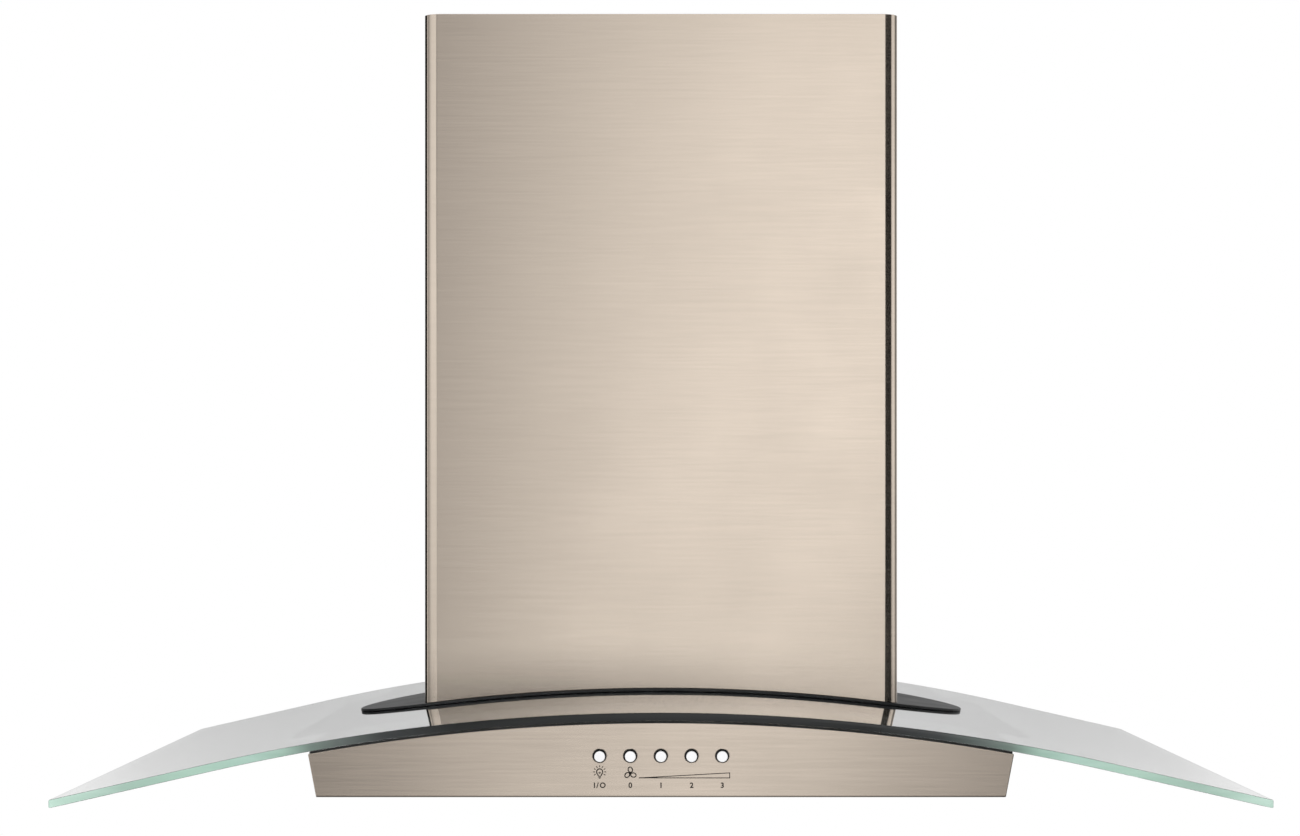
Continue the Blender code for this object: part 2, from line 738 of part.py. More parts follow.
def blade_prism(name, angle):
    """One flat blade, leaning forwards from the drum's inner to its outer radius."""
    inner, outer = WHEEL_INNER + 0.001, WHEEL_RADIUS - 0.001
    lean, half = radians(8), 0.0007
    ends = []
    for radius, turn in ((inner, angle), (outer, angle - lean)):
        ends.append((WHEEL_X + radius * cos(turn), WHEEL_Z + radius * sin(turn)))
    (x0, z0), (x1, z1) = ends
    along = Vector((x1 - x0, z1 - z0)).normalized()
    dx, dz = -along.y * half, along.x * half
    outline = [(x0 - dx, z0 - dz), (x1 - dx, z1 - dz), (x1 + dx, z1 + dz), (x0 + dx, z0 + dz)]
    return prism(name, [outline], -WHEEL_HALF + 0.001, WHEEL_HALF - 0.001, "XZ")


def duct(hood):
    low = BLOWER_PLATE_Z + 0.002 + GAP
    bore = circle(DUCT_RADIUS - DUCT_WALL, count=36)
    plan = [centred(FLANGE_X, FLANGE_Y, 0.004), bore]
    flange = prism("duct_collar", plan, low, low + DUCT_WALL)
    join(flange, prism("duct_tube", [circle(DUCT_RADIUS, count=36), bore], low, DUCT_TOP))
    for side, name in ((-1, "left"), (1, "right")):
        place = (side * DAMPER_X, DAMPER_Z)
        hole = rod(f"duct_pin_hole_{name}", 0.0019, place, -0.090, 0.090, "XZ", 12)
        cut(flange, hole)
    finish(flange, "galvanised_steel", hood)


def dampers(hood):
    """Two half-round flaps that fall shut and swing up on rods near the middle of the duct."""
    radius = DUCT_RADIUS - DUCT_WALL - 0.001
    for side, name in ((-1, "left"), (1, "right")):
        flap_pivot = pivot(f"pivot_damper_{name}", (side * DAMPER_X, 0, DAMPER_Z), hood)
        reach = asin(DAMPER_X / radius)
        steps = 20
        outline = []
        for step in range(steps + 1):
            a = -pi / 2 + reach + (pi - 2 * reach) * step / steps
            outline.append((side * radius * cos(a), radius * sin(a)))
        flap = prism(f"damper_{name}", [outline], DAMPER_Z - 0.0005, DAMPER_Z + 0.0005)
        place = (side * DAMPER_X, DAMPER_Z)
        half = DUCT_RADIUS - 0.0003
        join(flap, rod(f"damper_rod_{name}", DAMPER_ROD, place, -half, half, "XZ", 10))
        finish(flap, "grey_plastic", flap_pivot)


# Grease filters


def grease_filters(hood):
    for side, name in ((-1, "left"), (1, "right")):
        x = side * FILTER_X
        hinge = pivot(f"pivot_filter_{name}", (x, FILTER_HALF_Y, FILTER_HINGE_Z), hood)
        filter_cassette(name, x, hinge)
        filter_latch(name, x, hinge)


def filter_cassette(name, x, hinge):
    x0, x1 = x - FILTER_HALF_X, x + FILTER_HALF_X
    front, rear = -FILTER_HALF_Y, FILTER_HALF_Y
    open_front, open_rear = front + FILTER_FRONT_BAR, rear - FILTER_BAR
    open_x0, open_x1 = x0 + FILTER_BAR, x1 - FILTER_BAR
    plan = [rectangle(x0, x1, front, rear, 0.002, 2)]
    plan.append(rectangle(open_x0, open_x1, open_front, open_rear))
    frame = prism(f"filter_frame_{name}", plan, FILTER_LOW, FILTER_HIGH)
    channel_z = (FILTER_LOW + CHANNEL_SKIN, FILTER_HIGH - CHANNEL_SKIN)
    mesh_x = (open_x0 - CHANNEL_LIP, open_x1 + CHANNEL_LIP)
    mesh_y = (open_front - CHANNEL_LIP, open_rear + CHANNEL_LIP)
    channel_x = (mesh_x[0] - GAP, mesh_x[1] + GAP)
    channel_y = (mesh_y[0] - GAP, mesh_y[1] + GAP)
    cut(frame, box(f"filter_channel_{name}", channel_x, channel_y, channel_z))
    pocket = LATCH_HALF + 0.0005
    pocket_y = (front - 0.01, front + 0.0205)
    pocket_z = (FILTER_LOW - 0.01, FILTER_HIGH - 0.0012)
    cut(frame, box(f"latch_pocket_{name}", (x - pocket, x + pocket), pocket_y, pocket_z))
    for tab_x in (x - TAB_SPACING, x + TAB_SPACING):
        tab = box(
            f"filter_tab_{name}_{tab_x:.2f}",
            (tab_x - 0.010, tab_x + 0.010),
            (rear - 0.002, rear + 0.012),
            (FILTER_HINGE_Z + 0.0005, FILTER_HINGE_Z + 0.002),
        )
        join(frame, tab)
    finish(frame, "aluminium", hinge)

    mesh_z = (channel_z[0] + GAP, channel_z[1] - GAP)
    finish(box(f"filter_mesh_{name}", mesh_x, mesh_y, mesh_z), "aluminium", hinge)


def filter_latch(name, x, hinge):
    """The sprung catch in the filter's front bar. Its tongue ends at the window's edge."""
    front = -FILTER_HALF_Y
    catch_pivot = pivot(f"pivot_latch_{name}", (x, front, FILTER_LOW), hinge)
    body_y = (front + 0.002, front + 0.014)
    low, high = FILTER_LOW, FILTER_HIGH - 0.002
    latch = box(f"filter_latch_{name}", (x - LATCH_HALF, x + LATCH_HALF), body_y, (low, high))
    tongue_y = (WINDOW_FRONT + GAP, front + 0.003)
    tongue_z = (BODY_BOTTOM + SHEET + GAP, BODY_BOTTOM + SHEET + GAP + 0.003)
    tongue_x = (x - TONGUE_HALF, x + TONGUE_HALF)
    join(latch, box(f"latch_tongue_{name}", tongue_x, tongue_y, tongue_z))
    grip_x = (x - GRIP_HALF, x + GRIP_HALF)
    grip_y = (front + 0.005, front + 0.011)
    cut(latch, box(f"latch_grip_{name}", grip_x, grip_y, (low - 0.01, low + 0.003)))
    finish(latch, "grey_plastic", catch_pivot)


ceiling_frame()
HOOD = pivot("pivot_hood", (0, 0, LOWER_RAIL_TOP))
hood_frame(HOOD)
canopy(HOOD)
body(HOOD)
lamps(HOOD)
switch_module(HOOD)
junction_box(HOOD)
blower(HOOD)
duct(HOOD)
fan_wheel(HOOD)
dampers(HOOD)
buttons(HOOD)
grease_filters(HOOD)
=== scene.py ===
import json
from math import asin, cos, pi, radians, sin, sqrt, tan

import bmesh
import bpy
from mathutils import Matrix, Vector


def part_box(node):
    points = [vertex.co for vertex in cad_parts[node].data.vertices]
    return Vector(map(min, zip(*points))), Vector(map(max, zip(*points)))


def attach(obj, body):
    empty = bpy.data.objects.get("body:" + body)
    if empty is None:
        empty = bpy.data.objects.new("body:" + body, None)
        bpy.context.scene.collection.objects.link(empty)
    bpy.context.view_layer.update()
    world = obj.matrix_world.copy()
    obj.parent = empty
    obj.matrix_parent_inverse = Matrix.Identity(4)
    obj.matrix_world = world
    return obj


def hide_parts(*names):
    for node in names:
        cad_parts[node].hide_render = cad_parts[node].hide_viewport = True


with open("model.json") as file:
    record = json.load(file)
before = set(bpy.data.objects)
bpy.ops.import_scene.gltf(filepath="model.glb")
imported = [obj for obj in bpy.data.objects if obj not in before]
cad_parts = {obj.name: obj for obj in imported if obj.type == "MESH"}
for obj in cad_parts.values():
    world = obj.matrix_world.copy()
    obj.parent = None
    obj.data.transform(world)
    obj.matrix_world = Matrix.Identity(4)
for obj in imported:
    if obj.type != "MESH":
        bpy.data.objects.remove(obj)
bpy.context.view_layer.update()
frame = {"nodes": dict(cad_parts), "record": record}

# Looks of the island range hood. Metres, +Z up, the button side faces -Y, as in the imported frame.

NODES = frame["nodes"]
SLOT_OF = {row["node"]: row["material_slot"] for row in frame["record"]["subparts"]}
MM = 0.001
# Points closer than this are made one
MERGE = 1e-6
TEXT_MERGE = 1e-7
# Edges that turn more than this stay crisp
CRISP = radians(35)

# Places read from the frame
GLASS_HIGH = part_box("glass_canopy")[1]
COLLAR_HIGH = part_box("collar_plate")[1]
CHIMNEY_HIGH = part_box("lower_chimney_front")[1]
FASCIA_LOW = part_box("front_fascia")[0]
FRONT = FASCIA_LOW.y
BODY_BOTTOM = FASCIA_LOW.z
BUTTON_LOW, BUTTON_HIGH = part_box("button_low")


def middle_of(node):
    low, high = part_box(node)
    return (low + high) / 2


# The canopy's curve: an arc about the Y axis that runs on as straight tangents
ARCH_RADIUS = 1.490
ARCH_HALF_WIDTH = 0.330
ARCH_ANGLE = asin(ARCH_HALF_WIDTH / ARCH_RADIUS)
GLASS_TOP = GLASS_HIGH.z
GLASS_THICKNESS = 0.006
COLLAR_LIFT = 0.0003
COLLAR_THICKNESS = 0.0022
GLASS_CORNER = 0.004


# Materials


class Finish:
    """A Principled material whose colour, roughness and bump come from procedural textures."""

    def __init__(self, name, metallic=0.0, **fixed):
        self.material = bpy.data.materials.new(name)
        self.material.use_nodes = True
        self.tree = self.material.node_tree
        self.shader = self.tree.nodes["Principled BSDF"]
        self.shader.inputs["Metallic"].default_value = metallic
        for socket, value in fixed.items():
            self.shader.inputs[socket.replace("_", " ")].default_value = value
        self.place = self.new("ShaderNodeTexCoord").outputs["Object"]

    def new(self, kind, **settings):
        node = self.tree.nodes.new(kind)
        for key, value in settings.items():
            setattr(node, key, value)
        return node

    def feed(self, socket, value):
        """Links value to the socket, or sets it where it is a plain number or colour."""
        if isinstance(value, bpy.types.NodeSocket):
            self.tree.links.new(value, socket)
        elif isinstance(value, tuple) and len(value) == 3 and len(socket.default_value) == 4:
            socket.default_value = (*value, 1.0)
        else:
            socket.default_value = value

    def noise(self, stretch, detail):
        """Noise with this many features to the metre along X, Y and Z."""
        mapping = self.new("ShaderNodeMapping")
        mapping.inputs["Scale"].default_value = stretch
        self.feed(mapping.inputs["Vector"], self.place)
        texture = self.new("ShaderNodeTexNoise")
        texture.inputs["Scale"].default_value = 1.0
        texture.inputs["Detail"].default_value = detail
        self.feed(texture.inputs["Vector"], mapping.outputs["Vector"])
        return texture.outputs["Fac"]

    def cells(self, scale):
        """A random value for each cell, with this many cells to the metre."""
        texture = self.new("ShaderNodeTexVoronoi")
        texture.inputs["Scale"].default_value = scale
        self.feed(texture.inputs["Vector"], self.place)
        split = self.new("ShaderNodeSeparateColor")
        self.feed(split.inputs[0], texture.outputs["Color"])
        return split.outputs[0]

    def spread(self, value, low, high, start=0.3, end=0.7):
        """low to high as value goes from start to end."""
        node = self.new("ShaderNodeMapRange")
        self.feed(node.inputs["Value"], value)
        node.inputs["From Min"].default_value = start
        node.inputs["From Max"].default_value = end
        node.inputs["To Min"].default_value = low
        node.inputs["To Max"].default_value = high
        return node.outputs["Result"]

    def maths(self, operation, first, second=0.0):
        node = self.new("ShaderNodeMath", operation=operation)
        self.feed(node.inputs[0], first)
        self.feed(node.inputs[1], second)
        return node.outputs[0]

    def mix(self, share, first, second, blend="MIX"):
        node = self.new("ShaderNodeMix", data_type="RGBA", blend_type=blend)
        self.feed(node.inputs[0], share)
        self.feed(node.inputs[6], first)
        self.feed(node.inputs[7], second)
        return node.outputs[2]

    def split(self, vector):
        """The vector's X, Y and Z."""
        node = self.new("ShaderNodeSeparateXYZ")
        self.feed(node.inputs[0], vector)
        return node.outputs

    def near_parts_shade(self, distance):
        """1 in the open, less where neighbours stand close, which sets where painted shade goes."""
        node = self.new("ShaderNodeAmbientOcclusion", samples=4)
        node.inputs["Distance"].default_value = distance
        return node.outputs["AO"]

    def colour(self, value):
        self.feed(self.shader.inputs["Base Color"], value)

    def roughness(self, value):
        self.feed(self.shader.inputs["Roughness"], value)

    def bump(self, height, strength, distance):
        node = self.new("ShaderNodeBump")
        node.inputs["Strength"].default_value = strength
        node.inputs["Distance"].default_value = distance
        self.feed(node.inputs["Height"], height)
        self.feed(self.shader.inputs["Normal"], node.outputs["Normal"])

    def tangent(self, axis):
        node = self.new("ShaderNodeTangent", direction_type="RADIAL", axis=axis)
        self.feed(self.shader.inputs["Tangent"], node.outputs["Tangent"])


def shade(colour, factor):
    return tuple(channel * factor for channel in colour)


# How much of the steel's brightness is left where shade is painted on it: near neighbouring parts, on
# faces that look down and along the panel's bottom line
NEAR_PARTS_SHADE = 0.25
DOWNWARD_SHADE = 0.12
BOTTOM_LINE_SHADE = 0.28
STEEL_ROUGHNESS = 0.20


def brushed(name, colour, across, axis, anisotropy=0.8, grain=0.017, shade_line=None):
    """Steel brushed in straight lines, thin along the axis across, with faint smudges from handling.

    On upright steel, painted shade darkens the faces that look down, such as cut edges, and a painted
    shadow line runs below the height shade_line. Painted shade also darkens the steel near neighbours.
    """
    steel = Finish(name, 1.0, Anisotropic=anisotropy, Anisotropic_Rotation=0.25)
    steel.tangent(axis)
    hair = steel.noise(tuple(2600 if a else 14 for a in across), 3.0)
    streak = steel.noise(tuple(560 if a else 18 for a in across), 3.0)
    long_streak = steel.noise(tuple(420 if a else 3.5 for a in across), 3.0)
    smudge = steel.noise((9, 9, 9), 4.0)
    tone = steel.mix(steel.spread(hair, 0, 1), shade(colour, 0.98), shade(colour, 1.02))
    for lines, depth in ((streak, grain), (long_streak, 0.4 * grain)):
        relief = steel.mix(steel.spread(lines, 0, 1), (1 - depth,) * 3, (1 + depth,) * 3)
        tone = steel.mix(1.0, tone, relief, "MULTIPLY")
    # Painted shade: the steel darkens where neighbouring parts stand close
    tone = steel.mix(steel.near_parts_shade(0.045), shade(colour, NEAR_PARTS_SHADE), tone)
    # Painted shade on the faces that look down
    if axis == "Z":
        normal = steel.split(steel.new("ShaderNodeNewGeometry").outputs["True Normal"])
        downward_shade = steel.spread(normal["Z"], 1, 0, -0.4, -0.1)
        tone = steel.mix(downward_shade, tone, shade(colour, DOWNWARD_SHADE))
    # A painted shadow line below the height shade_line
    if shade_line:
        height = steel.split(steel.place)["Z"]
        below = steel.spread(height, 1, 0, shade_line - 0.2 * MM, shade_line + 0.2 * MM)
        tone = steel.mix(below, tone, shade(colour, BOTTOM_LINE_SHADE))
    steel.colour(tone)
    fine = steel.spread(hair, -0.02, 0.02)
    worn = steel.maths("ADD", fine, steel.spread(smudge, -0.015, 0.025))
    steel.roughness(steel.maths("ADD", worn, STEEL_ROUGHNESS))
    steel.bump(hair, 0.04, 0.05 * MM)
    return steel.material


def galvanised():
    zinc = Finish("galvanised_steel", 1.0)
    spangle = zinc.cells(130)
    frost = zinc.noise((60, 60, 60), 5.0)
    tone = zinc.mix(spangle, (0.56, 0.57, 0.58), (0.66, 0.67, 0.68))
    zinc.colour(zinc.mix(zinc.spread(frost, 0, 0.3), tone, (0.50, 0.51, 0.52)))
    sheen = zinc.spread(spangle, 0.38, 0.46, 0, 1)
    zinc.roughness(zinc.maths("ADD", sheen, zinc.spread(frost, 0, 0.08)))
    zinc.bump(frost, 0.1, 0.03 * MM)
    return zinc.material


def black_coat():
    """Powder coat: a fine orange peel under a satin gloss, with light dust."""
    coat = Finish("black_powder_coat", Specular_IOR_Level=0.35)
    peel = coat.noise((700, 700, 700), 2.0)
    dust = coat.noise((25, 25, 25), 6.0)
    settled = coat.spread(dust, 0, 1, 0.45, 0.8)
    coat.colour(coat.mix(settled, (0.010, 0.011, 0.012), (0.022, 0.023, 0.024)))
    coat.roughness(coat.spread(dust, 0.36, 0.48))
    coat.bump(peel, 0.12, 0.05 * MM)
    return coat.material


def rubber():
    seal = Finish("black_rubber", Specular_IOR_Level=0.35)
    grain = seal.noise((900, 900, 900), 4.0)
    bloom = seal.noise((30, 30, 30), 4.0)
    seal.colour(seal.mix(seal.spread(bloom, 0, 1), (0.012, 0.012, 0.012), (0.028, 0.028, 0.027)))
    seal.roughness(seal.spread(grain, 0.65, 0.85))
    seal.bump(grain, 0.3, 0.08 * MM)
    return seal.material


def moulded(name, colour, low, high, grain_size=1500, depth=0.05):
    """Moulded plastic with a spark-eroded grain and slight flow marks."""
    plastic = Finish(name, Specular_IOR_Level=0.45)
    grain = plastic.noise((grain_size,) * 3, 3.0)
    flow = plastic.noise((14, 14, 40), 3.0)
    plastic.colour(plastic.mix(plastic.spread(flow, 0, 1), shade(colour, 0.93), shade(colour, 1.05)))
    fine = plastic.spread(grain, low, high)
    plastic.roughness(plastic.maths("ADD", fine, plastic.spread(flow, 0, 0.04)))
    plastic.bump(grain, 0.25, depth * MM)
    return plastic.material


def aluminium(name="satin_aluminium", roughness=0.3):
    """Satin aluminium with fine rolling lines and a light film of grease."""
    metal = Finish(name, 1.0)
    rolled = metal.noise((14, 1400, 14), 3.0)
    film = metal.noise((40, 40, 40), 5.0)
    tone = metal.mix(metal.spread(rolled, 0, 1), (0.72, 0.73, 0.74), (0.84, 0.845, 0.85))
    metal.colour(metal.mix(metal.spread(film, 0, 0.35, 0.5, 0.8), tone, (0.62, 0.58, 0.50)))
    greasy = metal.spread(film, roughness, roughness + 0.15)
    metal.roughness(metal.maths("ADD", metal.spread(rolled, -0.04, 0.04), greasy))
    metal.bump(rolled, 0.12, 0.05 * MM)
    return metal.material


def motor_metal():
    """Cast housing with turned rings and a dull oxide skin."""
    metal = Finish("motor_metal", 1.0)
    cast = metal.noise((350, 350, 350), 4.0)
    turned_rings = metal.noise((8, 2200, 8), 2.0)
    metal.colour(metal.mix(metal.spread(cast, 0, 1), (0.30, 0.31, 0.32), (0.44, 0.45, 0.46)))
    metal.roughness(metal.spread(cast, 0.34, 0.52))
    metal.bump(metal.maths("ADD", cast, turned_rings), 0.2, 0.08 * MM)
    return metal.material


def screw_metal():
    """Bright zinc-plated screw heads, with wear marks from the driver."""
    metal = Finish("zinc_screw", 1.0)
    wear = metal.noise((1200, 1200, 1200), 3.0)
    metal.colour(metal.mix(metal.spread(wear, 0, 1), (0.60, 0.61, 0.62), (0.80, 0.80, 0.79)))
    metal.roughness(metal.spread(wear, 0.20, 0.36))
    metal.bump(wear, 0.15, 0.03 * MM)
    return metal.material


def printed_ink():
    ink = Finish("printed_ink", Specular_IOR_Level=0.3)
    thin = ink.noise((2500, 2500, 2500), 3.0)
    ink.colour(ink.mix(ink.spread(thin, 0, 1), (0.014, 0.011, 0.009), (0.030, 0.024, 0.019)))
    ink.roughness(ink.spread(thin, 0.45, 0.6))
    ink.bump(thin, 0.2, 0.01 * MM)
    return ink.material


def clear_glass():
    """Clear float glass. Light passes straight through it, so that it casts no solid shadow."""
    glass = Finish(
        "canopy_glass", Transmission_Weight=1.0, IOR=1.5, Coat_Weight=0.7, Coat_Roughness=0.0
    )
    smear = glass.noise((7, 3, 7), 4.0)
    glass.colour(glass.mix(glass.spread(smear, 0, 1), (0.955, 0.985, 0.970), (0.975, 0.995, 0.985)))
    glass.roughness(glass.spread(smear, 0.0, 0.012, 0.5, 0.8))
    glass.bump(glass.noise((2.2, 2.2, 2.2), 1.0), 0.05, 0.2 * MM)
    output = glass.tree.nodes["Material Output"]
    open_glass = glass.new("ShaderNodeBsdfTransparent")
    open_glass.inputs["Color"].default_value = (0.90, 0.95, 0.93, 1.0)
    switch = glass.new("ShaderNodeMixShader")
    glass.feed(switch.inputs[0], glass.new("ShaderNodeLightPath").outputs["Is Shadow Ray"])
    glass.feed(switch.inputs[1], glass.shader.outputs[0])
    glass.feed(switch.inputs[2], open_glass.outputs[0])
    glass.feed(output.inputs["Surface"], switch.outputs[0])
    return glass.material


# Painted light and shade on the glass's edge by distance from the middle: a pale green glow of light
# coming in at the wings, painted shade over the body
EDGE_LIGHT_AND_SHADE = (
    (0.150, (0.006, 0.007, 0.007)),
    (0.205, (0.040, 0.043, 0.044)),
    (0.238, (0.110, 0.130, 0.122)),
    (0.257, (0.160, 0.205, 0.182)),
    (0.278, (0.340, 0.480, 0.410)),
    (0.300, (0.410, 0.570, 0.500)),
    (0.345, (0.410, 0.580, 0.490)),
    (0.395, (0.370, 0.510, 0.440)),
    (0.449, (0.540, 0.720, 0.630)),
)


def glass_edge():
    """The polished edge, with painted light and shade: pale green where light comes in at the wings,
    painted shade over the body.
    """
    edge = Finish("canopy_glass_edge_painted_light_and_shade", Coat_Weight=0.25, Coat_Roughness=0.04, Specular_IOR_Level=0.35)
    side = edge.maths("ABSOLUTE", edge.split(edge.place)["X"])
    first, last = EDGE_LIGHT_AND_SHADE[0][0], EDGE_LIGHT_AND_SHADE[-1][0]
    # The ramp paints the edge's light and shade
    ramp = edge.new("ShaderNodeValToRGB")
    edge.feed(ramp.inputs[0], edge.spread(side, 0, 1, first, last))
    stops = ramp.color_ramp.elements
    for at, _ in EDGE_LIGHT_AND_SHADE[1:-1]:
        stops.new((at - first) / (last - first))
    for stop, (_, colour) in zip(stops, EDGE_LIGHT_AND_SHADE):
        stop.color = (*colour, 1.0)
    depth = edge.noise((12, 12, 220), 3.0)
    tint = edge.mix(edge.spread(depth, 0, 1), (0.86, 0.90, 0.88), (1.0, 1.0, 1.0))
    edge.colour(edge.mix(1.0, ramp.outputs["Color"], tint, "MULTIPLY"))
    edge.roughness(edge.spread(depth, 0.10, 0.22))
    edge.bump(edge.noise((500, 500, 500), 2.0), 0.05, 0.02 * MM)
    return edge.material


def frosted():
    """Frosted lamp lens: milky glass with a fine sand-blasted grain."""
    lens = Finish("frosted_lens", Transmission_Weight=0.35, IOR=1.5)
    grain = lens.noise((2200, 2200, 2200), 2.0)
    cloud = lens.noise((60, 60, 60), 3.0)
    lens.colour(lens.mix(lens.spread(cloud, 0, 1), (0.86, 0.86, 0.84), (0.94, 0.94, 0.92)))
    lens.roughness(lens.spread(grain, 0.35, 0.5))
    lens.bump(grain, 0.3, 0.03 * MM)
    return lens.material


CHAMPAGNE = (0.79, 0.683, 0.577)
# Height over the body's bottom of the panels' painted shadow line
SHADE_LINE_HEIGHT = 1.1 * MM
PANEL_GRAIN = 0.038
UPRIGHT_STEEL = brushed("brushed_champagne_steel", CHAMPAGNE, (0, 0, 1), "Z")
FLAT_STEEL = brushed("brushed_champagne_sheet", CHAMPAGNE, (0, 1, 0), "Y")
PANEL_STEEL = brushed(
    "brushed_champagne_panel", CHAMPAGNE, (0, 0, 1), "Z", 0.3, PANEL_GRAIN, BODY_BOTTOM + SHADE_LINE_HEIGHT
)
FINISHES = {
    "brushed_steel": UPRIGHT_STEEL,
    "canopy_glass": clear_glass(),
    "black_steel": black_coat(),
    "galvanised_steel": galvanised(),
    "black_rubber": rubber(),
    "grey_plastic": moulded("grey_plastic", (0.17, 0.175, 0.18), 0.42, 0.58),
    "white_plastic": moulded("white_plastic", (0.84, 0.84, 0.845), 0.22, 0.32, 900, 0.02),
    "aluminium": aluminium(),
    "motor_metal": motor_metal(),
    "lamp_glass": frosted(),
}
GLASS_EDGE = glass_edge()
INK = printed_ink()
ZINC = screw_metal()
MESH_METAL = aluminium("expanded_aluminium", 0.34)
DARK_PLASTIC = moulded("dark_plastic", (0.045, 0.047, 0.05), 0.38, 0.52)


# Shapes


def smooth(mesh):
    mesh.shade_smooth()
    mesh.set_sharp_from_angle(angle=CRISP)


def even_normals(obj):
    """Large flat faces keep their own normal where they meet small rounded ones."""
    even = obj.modifiers.new("even", "WEIGHTED_NORMAL")
    even.keep_sharp = True
    even.weight = 100


def into_mesh(shape, name):
    """A mesh made from the bmesh, which is freed."""
    mesh = bpy.data.meshes.new(name)
    shape.to_mesh(mesh)
    shape.free()
    return mesh


def absorb(shape, mesh):
    """Adds the mesh to the bmesh and deletes the mesh."""
    shape.from_mesh(mesh)
    bpy.data.meshes.remove(mesh)


def in_scene(name, data):
    obj = bpy.data.objects.new(name, data)
    bpy.context.scene.collection.objects.link(obj)
    return obj


def filled(drawn, merge):
    """The filled mesh of a curve or text object, as a bmesh. The object is deleted."""
    bpy.context.view_layer.update()
    evaluated = drawn.evaluated_get(bpy.context.evaluated_depsgraph_get())
    mesh = bpy.data.meshes.new_from_object(evaluated)
    mesh.transform(drawn.matrix_world)
    bpy.data.objects.remove(drawn)
    shape = bmesh.new()
    absorb(shape, mesh)
    bmesh.ops.remove_doubles(shape, verts=shape.verts, dist=merge)
    return shape


def new_verts(geometry):
    return [v for v in geometry if isinstance(v, bmesh.types.BMVert)]


def piece(name, shape, material, body, replaces=()):
    """Makes an object from a bmesh and lets it ride on the body."""
    mesh = into_mesh(shape, name)
    mesh.materials.append(material)
    smooth(mesh)
    obj = in_scene(name, mesh)
    even_normals(obj)
    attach(obj, body)
    if replaces:
        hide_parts(*replaces)
    return obj


def turned(profile, axis, centre, steps=48):
    """A profile of (radius, height) points turned about an axis through centre."""
    shape = bmesh.new()
    points = [shape.verts.new((r, 0, h)) for r, h in profile]
    edges = [shape.edges.new(pair) for pair in zip(points, points[1:])]
    bmesh.ops.spin(
        shape, geom=points + edges, axis=(0, 0, 1), cent=(0, 0, 0), steps=steps, angle=2 * pi
    )
    bmesh.ops.remove_doubles(shape, verts=shape.verts, dist=MERGE)
    bmesh.ops.recalc_face_normals(shape, faces=shape.faces)
    turn = Vector((0, 0, 1)).rotation_difference(Vector(axis)).to_matrix().to_4x4()
    shape.transform(Matrix.Translation(Vector(centre)) @ turn)
    return shape


def rounded(points, radius, steps=4):
    """The profile with each inner corner rounded."""
    made = [points[0]]
    for before, corner, after in zip(points, points[1:], points[2:]):
        a, b, c = Vector(before), Vector(corner), Vector(after)
        reach = min(radius, (a - b).length / 2.01, (c - b).length / 2.01)
        start, end = b + (a - b).normalized() * reach, b + (c - b).normalized() * reach
        for step in range(steps + 1):
            t = step / steps
            made.append(tuple(start * (1 - t) ** 2 + b * 2 * t * (1 - t) + end * t * t))
    return [*made, points[-1]]


def arch_height(x, offset):
    """Height of the canopy's curve at x, moved square to the glass by offset."""
    radius = ARCH_RADIUS + offset
    x = abs(x)
    edge = radius * sin(ARCH_ANGLE)
    if x <= edge:
        height = sqrt(radius * radius - x * x)
    else:
        height = radius * cos(ARCH_ANGLE) - (x - edge) * tan(ARCH_ANGLE)
    return height + GLASS_TOP - ARCH_RADIUS


def rectangle(half_x, half_y, corner, steps=8):
    centres = ((1, 1), (-1, 1), (-1, -1), (1, -1))
    points = []
    for quarter, (sx, sy) in enumerate(centres):
        for step in range(steps + 1):
            a = (quarter + step / steps) * pi / 2
            x = sx * (half_x - corner) + corner * cos(a)
            points.append((x, sy * (half_y - corner) + corner * sin(a)))
    return points


def stadium(half_length, half_depth, steps=40):
    points = []
    for side, start in ((1, -pi / 2), (-1, pi / 2)):
        for step in range(steps + 1):
            a = start + pi * step / steps
            x = side * (half_length - half_depth) + half_depth * cos(a)
            points.append((x, half_depth * sin(a)))
    return points


def flat_plan(outlines):
    """A flat sheet with holes, filled between its outlines."""
    curve = bpy.data.curves.new("plan", "CURVE")
    curve.dimensions = "2D"
    curve.fill_mode = "BOTH"
    for outline in outlines:
        spline = curve.splines.new("POLY")
        spline.points.add(len(outline) - 1)
        spline.use_cyclic_u = True
        for point, (u, v) in zip(spline.points, outline):
            point.co = (u, v, 0, 1)
    return filled(in_scene("plan", curve), MERGE)


def curved_sheet(outlines, low, high, arris, stations):
    """A sheet between two heights that follows the canopy's curve, with its edges eased by arris."""
    steep = radians(60)
    shape = flat_plan(outlines)
    half_width = max(x for x, _ in outlines[0])
    for station in range(1, stations):
        x = half_width * (2 * station / stations - 1)
        bmesh.ops.bisect_plane(
            shape, geom=[*shape.verts, *shape.edges, *shape.faces],
            plane_co=(x, 0, 0), plane_no=(1, 0, 0), dist=MERGE,
        )
    bmesh.ops.recalc_face_normals(shape, faces=shape.faces)
    top = bmesh.ops.extrude_face_region(shape, geom=shape.faces[:])["geom"]
    raised = set(new_verts(top))
    for vert in shape.verts:
        vert.co.z = arch_height(vert.co.x, high if vert in raised else low)
    bmesh.ops.recalc_face_normals(shape, faces=shape.faces)
    rims = [e for e in shape.edges if e.is_manifold and e.calc_face_angle() > steep]
    rims = [e for e in rims if abs(e.verts[0].co.z - e.verts[1].co.z) < high - low]
    bmesh.ops.bevel(shape, geom=rims, offset=arris, segments=2, affect="EDGES", profile=0.5)
    return shape


# CAD nodes that stay: smooth shading, eased edges and a finish

